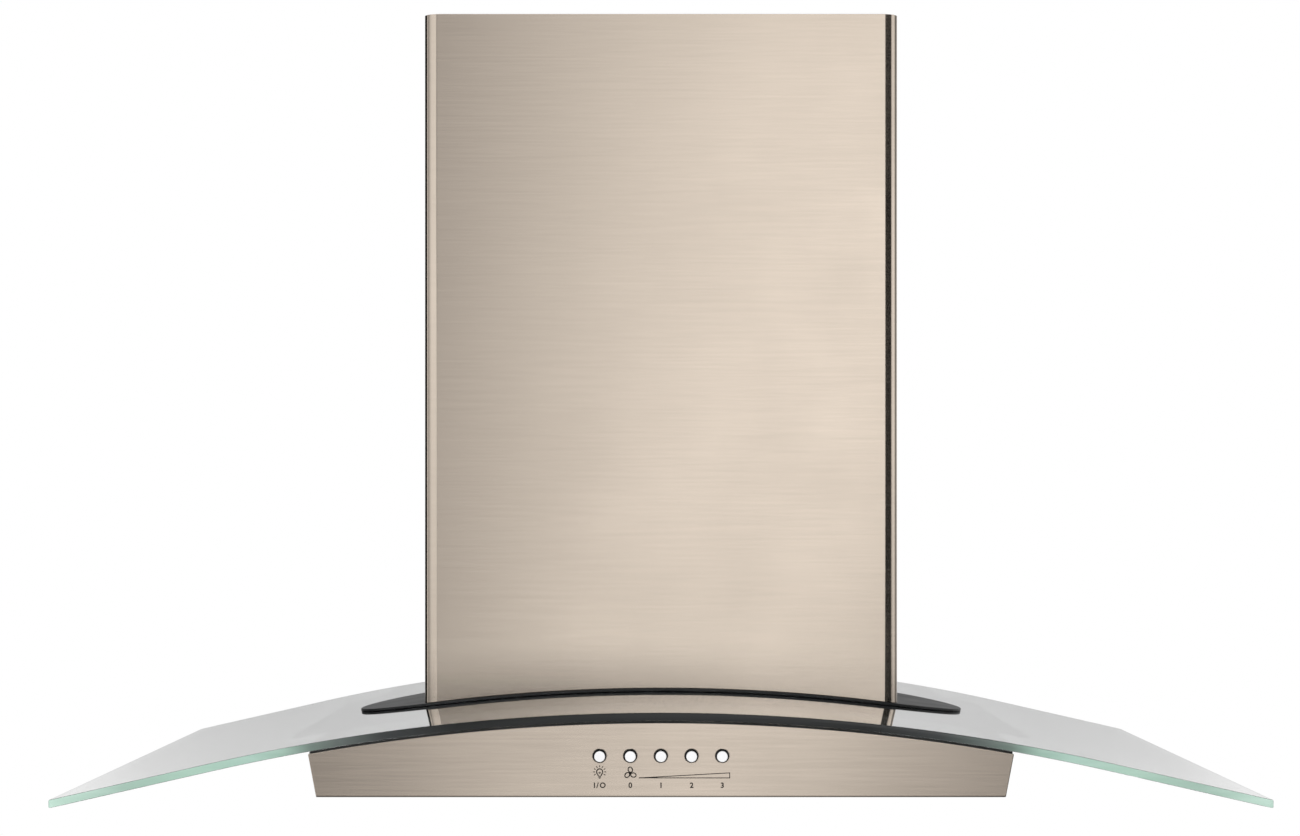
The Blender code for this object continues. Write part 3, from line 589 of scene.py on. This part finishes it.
EASED = {  # bevel width in millimetres and number of segments
    "front_fascia": (0.55, 2), "rear_fascia": (0.55, 2), "bottom_panel": (0.25, 2),
    "side_panel_left": (0.3, 2), "side_panel_right": (0.3, 2),
    "lower_chimney_front": (0.2, 1), "lower_chimney_rear": (0.2, 1),
    "upper_chimney_front": (0.2, 1), "upper_chimney_rear": (0.2, 1),
    "ceiling_plate": (0.4, 2), "duct_collar": (0.3, 1), "blower_motor": (1.0, 3),
    "filter_frame_left": (0.5, 2), "filter_frame_right": (0.5, 2),
    "filter_latch_left": (0.5, 2), "filter_latch_right": (0.5, 2),
    "junction_box": (0.8, 2), "junction_box_lid": (0.6, 2), "cable_gland": (0.5, 2),
    "motor_bracket": (0.3, 1), "blower_casing_front": (0.4, 1), "blower_casing_rear": (0.4, 1),
}


def dress(node, material):
    """Welds a CAD node's facets into one smooth surface and gives it a finish."""
    mesh = node.data
    for name in ("custom_normal", "sharp_edge", "sharp_face"):
        if name in mesh.attributes:
            mesh.attributes.remove(mesh.attributes[name])
    mesh.materials.clear()
    mesh.materials.append(material)
    weld = node.modifiers.new("weld", "WELD")
    weld.merge_threshold = MERGE
    flatten = node.modifiers.new("flatten", "DECIMATE")
    flatten.decimate_type = "DISSOLVE"
    flatten.angle_limit = radians(0.05)
    if node.name in EASED:
        width, segments = EASED[node.name]
        ease = node.modifiers.new("ease", "BEVEL")
        ease.width = width * MM
        ease.segments = segments
        ease.limit_method = "ANGLE"
        ease.angle_limit = radians(40)
        ease.use_clamp_overlap = False
    split = node.modifiers.new("crisp", "EDGE_SPLIT")
    split.split_angle = CRISP
    even_normals(node)


for name, node in sorted(NODES.items()):
    dress(node, FINISHES[SLOT_OF[name]])
NODES["bottom_panel"].data.materials[0] = FLAT_STEEL
for name in ("front_fascia", "rear_fascia"):
    NODES[name].data.materials[0] = PANEL_STEEL
NODES["switch_module"].data.materials[0] = DARK_PLASTIC


# Glass and collar

THROAT = (0.179, 0.087, 0.005)  # half width, half depth and corner of the hole for frame and air
GLASS_ARRIS = 0.9 * MM
COLLAR_ARRIS = 0.6 * MM
FACE_SLOPE = 0.6  # a face of the glass that looks more steeply up or down isn't its edge


def canopy_glass():
    plan = [rectangle(GLASS_HIGH.x, GLASS_HIGH.y, GLASS_CORNER), rectangle(*THROAT, 4)[::-1]]
    shape = curved_sheet(plan, -GLASS_THICKNESS, 0, GLASS_ARRIS, 72)
    for face in shape.faces:
        is_edge = abs(face.normal.z) <= FACE_SLOPE
        face.material_index = int(is_edge)
    clear = FINISHES["canopy_glass"]
    obj = piece("canopy_glass_sheet", shape, clear, "hood", ["glass_canopy"])
    obj.data.materials.append(GLASS_EDGE)


def collar():
    plan = [stadium(COLLAR_HIGH.x, COLLAR_HIGH.y), rectangle(*THROAT, 4)[::-1]]
    low, high = COLLAR_LIFT, COLLAR_LIFT + COLLAR_THICKNESS
    shape = curved_sheet(plan, low, high, COLLAR_ARRIS, 48)
    piece("collar_sheet", shape, FINISHES["black_steel"], "hood", ["collar_plate"])


canopy_glass()
collar()


# Push buttons and their printed marks

BUTTON_NAMES = ("lamp", "off", "low", "medium", "high")
BUTTON_SAG = 0.5 * MM
CAP_RADIUS = 3.95 * MM
CAP_DEPTH = 4.2 * MM
CAP_DOME = 0.12 * MM
STEM_RADIUS = 2.7 * MM
INK_THICKNESS = 0.03 * MM
BUTTON_Z = middle_of("button_low").z
ICON_Z = BUTTON_Z - 0.0123
LABEL_Z = BUTTON_Z - 0.0217


def button_x(name):
    return middle_of(f"button_{name}").x


def button_caps():
    """Domed caps that hang a little low in their holes, each on its stem."""
    face, back = BUTTON_LOW.y, BUTTON_HIGH.y
    length = back - face
    profile = [(0, length), (STEM_RADIUS, length), (STEM_RADIUS, CAP_DEPTH), (CAP_RADIUS, CAP_DEPTH)]
    profile += [(CAP_RADIUS, 0.0), (0.001 * MM, 0.0)]
    profile = rounded(profile, 0.7 * MM)
    front = 0.05 * MM  # lower points are on the cap's face
    lift = [CAP_DOME * r / CAP_RADIUS if h < front else CAP_DOME for r, h in profile]
    profile = [(r, h + up) for (r, h), up in zip(profile, lift)]
    profile[-1] = (0, profile[-1][1])
    white = FINISHES["white_plastic"]
    for name in BUTTON_NAMES:
        place = (button_x(name), face, BUTTON_Z - BUTTON_SAG)
        shape = turned(profile, (0, 1, 0), place)
        button = f"button_{name}"
        piece(f"cap_{name}", shape, white, button, [button])


def ink(name, parts):
    """Thin print on the front panel. parts are closed outlines of (x, z) points."""
    shape = bmesh.new()
    for outline in parts:
        verts = [shape.verts.new((x, FRONT - INK_THICKNESS, z)) for x, z in outline]
        shape.faces.new(verts)
    shape.normal_update()
    out = [f for f in shape.faces if f.normal.y > 0]
    bmesh.ops.reverse_faces(shape, faces=out)
    grown = bmesh.ops.extrude_face_region(shape, geom=shape.faces[:])["geom"]
    bmesh.ops.translate(shape, verts=new_verts(grown), vec=(0, INK_THICKNESS, 0))
    bmesh.ops.recalc_face_normals(shape, faces=shape.faces)
    piece(name, shape, INK, "hood")


def stroke(points, width, closed=False):
    """Quads that follow a line of (x, z) points, with mitred joints."""
    count = len(points)
    sides = []
    for i, (x, z) in enumerate(points):
        before = Vector(points[i - 1]) if (i > 0 or closed) else Vector((x, z))
        after = Vector(points[(i + 1) % count]) if (i < count - 1 or closed) else Vector((x, z))
        here = Vector((x, z))
        two = (after - here).normalized()
        one = (here - before).normalized() if (here - before).length > 0 else two
        if two.length == 0:
            two = one
        along = (one + two).normalized()
        normal = Vector((-along.y, along.x))
        spread = width / 2 / max(0.3, abs(normal.dot(Vector((-one.y, one.x)))))
        sides.append((here + normal * spread, here - normal * spread))
    pairs = zip(sides, sides[1:] + ([sides[0]] if closed else []))
    return [[tuple(a), tuple(c), tuple(d), tuple(b)] for (a, b), (c, d) in pairs]


def arc(cx, cz, radius, start, end, steps=20, squash=1.0, tilt=0.0):
    points = []
    for i in range(steps + 1):
        a = radians(start + (end - start) * i / steps)
        u, v = radius * cos(a), radius * squash * sin(a)
        points.append((cx + u * cos(tilt) - v * sin(tilt), cz + u * sin(tilt) + v * cos(tilt)))
    return points


def bulb_icon(x, z):
    """A lamp bulb with its filament, its cap and nine rays."""
    line = 0.8 * MM
    globe_z = z + 0.6 * MM
    globe = 2.25 * MM
    parts = stroke(arc(x, globe_z, globe, -50, 230), line)
    for side in (-1, 1):
        neck = [(x + side * 1.45 * MM, globe_z - 1.72 * MM), (x + side * 0.95 * MM, z - 2.4 * MM)]
        parts += stroke(neck, line)
    for drop, half in ((2.5, 1.0), (3.3, 1.0), (4.1, 0.6)):
        parts += stroke([(x - half * MM, z - drop * MM), (x + half * MM, z - drop * MM)], 0.55 * MM)
    filament = [(-0.8, -0.1), (-0.3, -1.1), (0.0, -0.3), (0.3, -1.1), (0.8, -0.1)]
    parts += stroke([(x + u * MM, globe_z + v * MM) for u, v in filament], 0.4 * MM)
    for ray in range(9):
        a = radians(-30 + 30 * ray)
        ends = [(x + reach * cos(a), globe_z + reach * sin(a)) for reach in (3.4 * MM, 4.8 * MM)]
        parts += stroke(ends, 0.6 * MM)
    return parts


def fan_icon(x, z):
    """Three open blades round a hub."""
    parts = []
    for blade in range(3):
        tilt = radians(90 + 120 * blade)
        out = 2.6 * MM
        cx, cz = x + out * cos(tilt), z + out * sin(tilt)
        ring = arc(cx, cz, 2.0 * MM, 0, 342, 19, 0.78, tilt + radians(18))
        parts += stroke(ring, 0.8 * MM, closed=True)
    parts.append(arc(x, z, 0.7 * MM, 0, 330, 11))
    return parts


def speed_wedge(left, right):
    """A long wedge that grows from left to right, solid at its thin end and open towards the other."""
    low, high = ICON_Z - 4.1 * MM, ICON_Z + 0.2 * MM
    line = 0.6 * MM
    solid = left + 14 * MM
    slope = (high - low - line) / (right - left)
    edge = low + line + slope * (solid - left)
    tip = [(left, low), (solid, low), (solid, edge), (left, low + line)]
    base = [(solid, low), (right, low), (right, low + line), (solid, low + line)]
    top = [(solid, edge - line), (right, high - line), (right, high), (solid, edge)]
    inner = right - line
    end = [(inner, low + line), (right, low + line), (right, high - line), (inner, high - line)]
    return [tip, base, top, end]


def printed_marks():
    lamp, off, high = button_x("lamp"), button_x("off"), button_x("high")
    ink("print_bulb", bulb_icon(lamp, ICON_Z))
    ink("print_fan", fan_icon(off, ICON_Z - 0.4 * MM))
    ink("print_wedge", speed_wedge(off + 6.2 * MM, high + 5.7 * MM))
    texts = {"lamp": "I/O", "off": "0", "low": "1", "medium": "2", "high": "3"}
    for name, words in texts.items():
        label(f"print_label_{name}", words, button_x(name))


def label(name, words, x):
    """A plain numeral, or I/O, under a button."""
    text = bpy.data.curves.new(name, "FONT")
    text.body = words
    text.size = 5.4 * MM
    text.align_x = "CENTER"
    text.align_y = "CENTER"
    text.extrude = INK_THICKNESS / 2
    text.offset = 0.16 * MM
    text.space_character = 1.3
    drawn = in_scene(name, text)
    drawn.rotation_euler = (pi / 2, 0, 0)
    drawn.location = (x, FRONT - INK_THICKNESS / 2, LABEL_Z)
    piece(name, filled(drawn, TEXT_MERGE), INK, "hood")


button_caps()
printed_marks()


# Screws

SCREW_STEPS = 32


def screw_shape(radius, height):
    """A pan head with a cross recess. It stands on the XY plane, with its top towards +Z."""
    arm, slot, depth = 0.55 * radius, 0.14 * radius, 0.6 * height
    quarter = [(arm, -slot), (arm, slot), (slot, slot)]
    cross = []
    for turn in range(4):
        a = turn * pi / 2
        cross += [(x * cos(a) - y * sin(a), x * sin(a) + y * cos(a)) for x, y in quarter]
    angles = [2 * pi * i / SCREW_STEPS for i in range(SCREW_STEPS)]
    rings = [[(r * cos(a), r * sin(a)) for a in angles] for r in (radius, 0.72 * radius)]
    shape = bmesh.new()
    for outlines in ([rings[0], rings[1][::-1]], [rings[1], cross[::-1]]):
        absorb(shape, into_mesh(flat_plan(outlines), "screw"))
    bmesh.ops.remove_doubles(shape, verts=shape.verts, dist=MERGE)
    for vert in shape.verts:
        vert.co.z = height * (1 - 0.45 * (vert.co.xy.length / radius) ** 2.5)
    rims = [e for e in shape.edges if e.is_boundary]
    outer = [e for e in rims if e.verts[0].co.xy.length > 0.9 * radius]
    inner = [e for e in rims if e not in outer]
    for edges, floor_z in ((outer, 0.0), (inner, height - depth)):
        grown = bmesh.ops.extrude_edge_only(shape, edges=edges)["geom"]
        for vert in new_verts(grown):
            vert.co.z = floor_z
        rim = [e for e in grown if isinstance(e, bmesh.types.BMEdge)]
        bmesh.ops.contextual_create(shape, geom=rim)
    bmesh.ops.recalc_face_normals(shape, faces=shape.faces)
    return shape


def screws(name, places, direction, radius=2.6 * MM, height=1.3 * MM):
    """A group of equal screws whose heads stand out along direction, each turned differently."""
    mesh = into_mesh(screw_shape(radius, height), "screw")
    turn = Vector((0, 0, 1)).rotation_difference(Vector(direction)).to_matrix().to_4x4()
    group = bmesh.new()
    for count, place in enumerate(places):
        copy = mesh.copy()
        copy.transform(Matrix.Translation(Vector(place)) @ turn @ Matrix.Rotation(count * 1.1, 4, "Z"))
        absorb(group, copy)
    bpy.data.meshes.remove(mesh)
    piece(name, group, ZINC, "hood")


def all_screws():
    below = (0, 0, -1)
    sides = (-1, 1)
    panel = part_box("bottom_panel")[0]
    edge_x, edge_y = -panel.x - 10 * MM, -panel.y - 14 * MM
    middle_x, side_y = 80 * MM, 185 * MM
    long_rows = [(sx * x, sy * edge_y) for sx in sides for sy in sides for x in (edge_x, middle_x)]
    short_rows = [(sx * edge_x, sy * side_y) for sx in sides for sy in sides]
    places = [(x, y, panel.z) for x, y in long_rows + short_rows]
    screws("screws_bottom_panel", places, below)
    seam_distance = 11 * MM
    cover_heights = (-0.06, -0.29, -0.52)
    for side, name in ((-1, "left"), (1, "right")):
        x = side * CHIMNEY_HIGH.x
        places = [(x, y, z) for y in (-seam_distance, seam_distance) for z in cover_heights]
        screws(f"screws_cover_{name}", places, (side, 0, 0), 2.2 * MM, 1.1 * MM)
    low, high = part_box("junction_box_lid")
    inset = 5 * MM
    ends, rows = (low.x + inset, high.x - inset), (low.y + inset, high.y - inset)
    places = [(x, y, low.z) for x in ends for y in rows]
    screws("screws_box_lid", places, below, 2.0 * MM, 1.0 * MM)
    wheel = middle_of("fan_wheel")
    arm_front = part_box("blower_casing_front")[0].y - 2.3 * MM
    reach = 66 * MM
    angles = [radians(90 + 120 * arm) for arm in range(3)]
    places = [(wheel.x + reach * cos(a), arm_front, wheel.z + reach * sin(a)) for a in angles]
    screws("screws_motor_arms", places, (0, -1, 0))


# Lamps

LAMP_CORNERS = ("front_left", "front_right", "rear_left", "rear_right")
PRISM_RINGS = 12
PRISM_VALLEY = 0.75 * MM
PRISM_CREST = 0.35 * MM
LENS_RIM = 1.2 * MM
BEZEL = (  # millimetres outside the lens and above its lower face
    (-2.0, 1.0), (0.1, 1.0), (0.1, -0.1), (4.0, -0.1), (4.0, -0.8),
    (1.2, -1.7), (-0.6, -1.2), (-2.0, 0.2), (-2.0, 1.0),
)


def lamps():
    """A frosted lens with prism rings, in a satin bezel that overlaps the panel."""
    for corner in LAMP_CORNERS:
        lamp = f"lamp_lens_{corner}"
        low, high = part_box(lamp)
        centre = ((low.x + high.x) / 2, (low.y + high.y) / 2, low.z)
        radius = (high.x - low.x) / 2
        inner, outer = radius - 2.2 * MM, radius - 0.3 * MM
        top = high.z - low.z
        profile = [(0, top), (outer, top), (outer, LENS_RIM), (inner, LENS_RIM)]
        half_crest = inner * 0.42 / PRISM_RINGS
        for ring in range(PRISM_RINGS):
            r = inner * (1 - (ring + 0.5) / PRISM_RINGS)
            profile += [(r + half_crest, PRISM_CREST), (r, PRISM_VALLEY), (r - half_crest, PRISM_CREST)]
        profile.append((0, PRISM_CREST))
        lens = turned(profile, (0, 0, 1), centre, 64)
        piece(f"lens_{corner}", lens, FINISHES["lamp_glass"], "hood", [lamp])

        bezel = [(radius + out * MM, up * MM) for out, up in BEZEL]
        shape = turned(rounded(bezel, 0.4 * MM, 3), (0, 0, 1), centre, 72)
        piece(f"bezel_{corner}", shape, FINISHES["aluminium"], "hood")


# Grease filters: layers of expanded aluminium in each frame

STRAND_WIDTH = 0.9 * MM
STRAND_THICKNESS = 0.45 * MM
STRAND_TWIST = 0.35 * MM
LAYERS = (  # millimetres: height, between strands, between bends. Then whether they run along X.
    (0.8, 5.2, 4.6, False),
    (2.6, 4.4, 4.0, True),
    (4.4, 5.0, 4.4, False),
)


def strand_layer(shape, x_span, y_span, z, pitch, step, along_x):
    """Zigzag strands that meet their neighbours at every other bend, which leaves diamonds open."""
    across, along = (y_span, x_span) if along_x else (x_span, y_span)
    count = int((across[1] - across[0]) / pitch)
    pitch = (across[1] - across[0]) / count
    steps = int((along[1] - along[0]) / step)
    step = (along[1] - along[0]) / steps
    swing = (pitch - STRAND_WIDTH) / 2
    for strand in range(count):
        middle = across[0] + (strand + 0.5) * pitch
        before = None
        for bend in range(steps + 1):
            side = 1 if (strand + bend) % 2 else -1
            u, v = middle + side * swing, along[0] + bend * step
            rise = side * STRAND_TWIST
            corners = []
            for du, dz in ((-1, -1), (1, -1), (1, 1), (-1, 1)):
                a = u + du * STRAND_WIDTH / 2
                height = z + rise * du + dz * STRAND_THICKNESS / 2
                corners.append(shape.verts.new((v, a, height) if along_x else (a, v, height)))
            if before:
                for i in range(4):
                    j = (i + 1) % 4
                    shape.faces.new((before[i], before[j], corners[j], corners[i]))
            else:
                shape.faces.new(corners)
            before = corners
        shape.faces.new(before[::-1])


def filter_meshes():
    for side in ("left", "right"):
        low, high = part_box(f"filter_mesh_{side}")
        x_span, y_span = (low.x, high.x), (low.y, high.y)
        shape = bmesh.new()
        for height, pitch, step, along_x in LAYERS:
            z = low.z + height * MM
            strand_layer(shape, x_span, y_span, z, pitch * MM, step * MM, along_x)
        bmesh.ops.recalc_face_normals(shape, faces=shape.faces)
        piece(f"mesh_{side}", shape, MESH_METAL, f"filter_{side}", [f"filter_mesh_{side}"])


all_screws()
lamps()
filter_meshes()


# Stage: floor, light and camera

FLOOR_Z = -2.40
FLOOR_RADIUS = 14.0
CAMERA_PLACE = (0.0, -2.450, -0.413)
CAMERA_LENS = 79.3
SENSOR_WIDTH = 36
IMAGE_WIDTH = 1300
SHIFT_X = -11 / IMAGE_WIDTH
SHIFT_Y = 97 / IMAGE_WIDTH


def floor():
    shape = bmesh.new()
    bmesh.ops.create_circle(shape, cap_ends=True, radius=FLOOR_RADIUS, segments=96)
    mesh = into_mesh(shape, "floor")
    obj = in_scene("floor", mesh)
    obj.location.z = FLOOR_Z
    pale = Finish("pale_floor", Emission_Color=(1.0, 1.0, 1.0, 1.0), Emission_Strength=0.14)
    tone = pale.noise((1.5, 1.5, 1.5), 3.0)
    pale.colour(pale.mix(tone, (0.88, 0.88, 0.88), (0.92, 0.92, 0.92)))
    pale.roughness(0.8)
    mesh.materials.append(pale.material)
    obj.visible_glossy = False


# Studio brightness by direction from the object, as (degrees right of the front, brightness)
UPPER_ROUND = (
    (-180, 0.62), (-171, 0.63), (-169, 0.74), (-167.5, 0.94), (-160, 0.95), (-155, 0.02),
    (-112, 0.00), (-104, 0.90), (-98, 0.90), (-91, 0.35), (-84, 0.45), (-74, 0.90), (-50, 1.15),
    (-16, 1.20), (-9, 0.28), (-5, 0.50), (0, 1.15), (4, 1.55), (7.5, 1.40), (11, 0.0), (61, 0.0),
    (72, 1.10), (100, 1.15), (112, 0.25), (135, 0.25), (158, 1.00), (167.5, 0.94), (169, 0.74),
    (171, 0.65), (180, 0.65),
)
LOWER_ROUND = (
    (-180, 0.62), (-158, 0.62), (-150, 0.04), (-112, 0.00), (-104, 0.80), (-98, 0.80), (-91, 0.20),
    (-75, 0.25), (-50, 0.45), (-16, 0.40), (-10, 0.02), (-6.5, 0.12), (-2.5, 1.06), (2.4, 1.12),
    (5.8, 0.16), (9, 0.0), (56, 0.0), (75, 0.20), (100, 0.55), (112, 0.25), (135, 0.25),
    (158, 0.62), (180, 0.62),
)
# Well below the horizon, where only views from above look
DEEP_ROUND = (
    (-180, 0.80), (-158, 0.80), (-150, 0.08), (-112, 0.08), (-104, 0.80), (-60, 1.05), (-25, 0.95),
    (-14, 0.25), (-8, 0.30), (0, 0.85), (4.5, 0.35), (9, 0.08), (58, 0.12), (74, 0.80), (180, 0.80),
)
# Further up and down still: soft light from everywhere
FAR_ROUND = ((-180, 0.85), (-110, 0.85), (-45, 1.0), (0, 0.95), (60, 0.85), (135, 0.80), (180, 0.85))
# Brightness by degrees above the horizon, which multiplies the four above
UP_AND_DOWN = (
    (-90, 0.50), (-60, 0.55), (-40, 0.85), (-14, 0.90), (-4, 0.86), (0, 0.92), (4, 0.98), (12, 0.55),
    (28, 0.68), (60, 1.1), (90, 1.2),
)
# Degrees above the horizon over which one ring of brightness gives way to the next
DEEP_TO_LOWER = (-15, -8)
LOWER_TO_UPPER = (-4, 0.5)
ROUND_TO_FAR = (19, 28)
BACKDROP = 1.0
FILL = 0.95


def studio():
    """White all round for the camera and through glass, and softboxes and dark flags in reflections."""
    world = bpy.data.worlds.new("studio")
    bpy.context.scene.world = world
    world.use_nodes = True
    tree = world.node_tree
    background = tree.nodes["Background"]
    background.inputs["Color"].default_value = (1.0, 1.0, 1.0, 1.0)

    def add(kind, *inputs, **settings):
        node = tree.nodes.new(kind)
        for key, value in settings.items():
            setattr(node, key, value)
        for socket, value in zip(node.inputs, inputs):
            if isinstance(value, bpy.types.NodeSocket):
                tree.links.new(value, socket)
            else:
                socket.default_value = value
        return node.outputs[0]

    def math(operation, *inputs):
        return add("ShaderNodeMath", *inputs, operation=operation)

    def fade(value, low, high):
        """0 to 1 as value goes from low to high degrees."""
        return add("ShaderNodeMapRange", value, radians(low), radians(high), 0.0, 1.0)

    def curve(value, stops):
        """A smooth ramp of brightness through the stops."""
        low, high = stops[0][0], stops[-1][0]
        share = fade(value, low, high)
        ramp = tree.nodes.new("ShaderNodeValToRGB")
        ramp.color_ramp.interpolation = "EASE"
        tree.links.new(share, ramp.inputs[0])
        elements = ramp.color_ramp.elements
        for angle, _ in stops[1:-1]:
            elements.new((angle - low) / (high - low))
        for element, (_, level) in zip(elements, stops):
            element.color = (level / 2, level / 2, level / 2, 1.0)
        return math("MULTIPLY", ramp.outputs["Color"], 2.0)

    def blend(first, second, share):
        """first to second as share goes from 0 to 1."""
        return math("ADD", first, math("MULTIPLY", math("SUBTRACT", second, first), share))

    coordinates = tree.nodes.new("ShaderNodeTexCoord")
    axes = tree.nodes.new("ShaderNodeSeparateXYZ")
    tree.links.new(coordinates.outputs["Generated"], axes.inputs[0])
    x, y, z = axes.outputs
    turn = math("ARCTAN2", x, math("MULTIPLY", y, -1.0))
    rise = math("ARCSINE", z)
    below = blend(curve(turn, DEEP_ROUND), curve(turn, LOWER_ROUND), fade(rise, *DEEP_TO_LOWER))
    round_about = blend(below, curve(turn, UPPER_ROUND), fade(rise, *LOWER_TO_UPPER))
    far = fade(math("ABSOLUTE", rise), *ROUND_TO_FAR)
    everywhere = blend(round_about, curve(turn, FAR_ROUND), far)
    level = math("MULTIPLY", everywhere, curve(rise, UP_AND_DOWN))
    path = tree.nodes.new("ShaderNodeLightPath")
    mirrored = math("MULTIPLY", path.outputs["Is Glossy Ray"], path.outputs["Is Reflection Ray"])
    plain = add("ShaderNodeMapRange", path.outputs["Is Diffuse Ray"], 0.0, 1.0, BACKDROP, FILL)
    reflected = math("MULTIPLY", math("SUBTRACT", level, plain), mirrored)
    tree.links.new(math("ADD", plain, reflected), background.inputs["Strength"])


def soft_light(name, place, target, size, power):
    lamp = bpy.data.lights.new(name, "AREA")
    lamp.size = size
    lamp.energy = power
    obj = in_scene(name, lamp)
    obj.location = place
    obj.rotation_euler = (Vector(target) - Vector(place)).to_track_quat("-Z", "Y").to_euler()
    obj.visible_camera = False
    obj.visible_glossy = False


def camera():
    lens = bpy.data.cameras.new("camera")
    lens.lens = CAMERA_LENS
    lens.sensor_width = SENSOR_WIDTH
    lens.shift_x = SHIFT_X
    lens.shift_y = SHIFT_Y
    obj = in_scene("camera", lens)
    obj.location = CAMERA_PLACE
    obj.rotation_euler = (pi / 2, 0, 0)
    bpy.context.scene.camera = obj


floor()
studio()
soft_light("key", (-1.2, -2.6, 1.4), (0, 0, -0.4), size=1.8, power=30)
camera()
bpy.context.scene.view_settings.view_transform = "Standard"
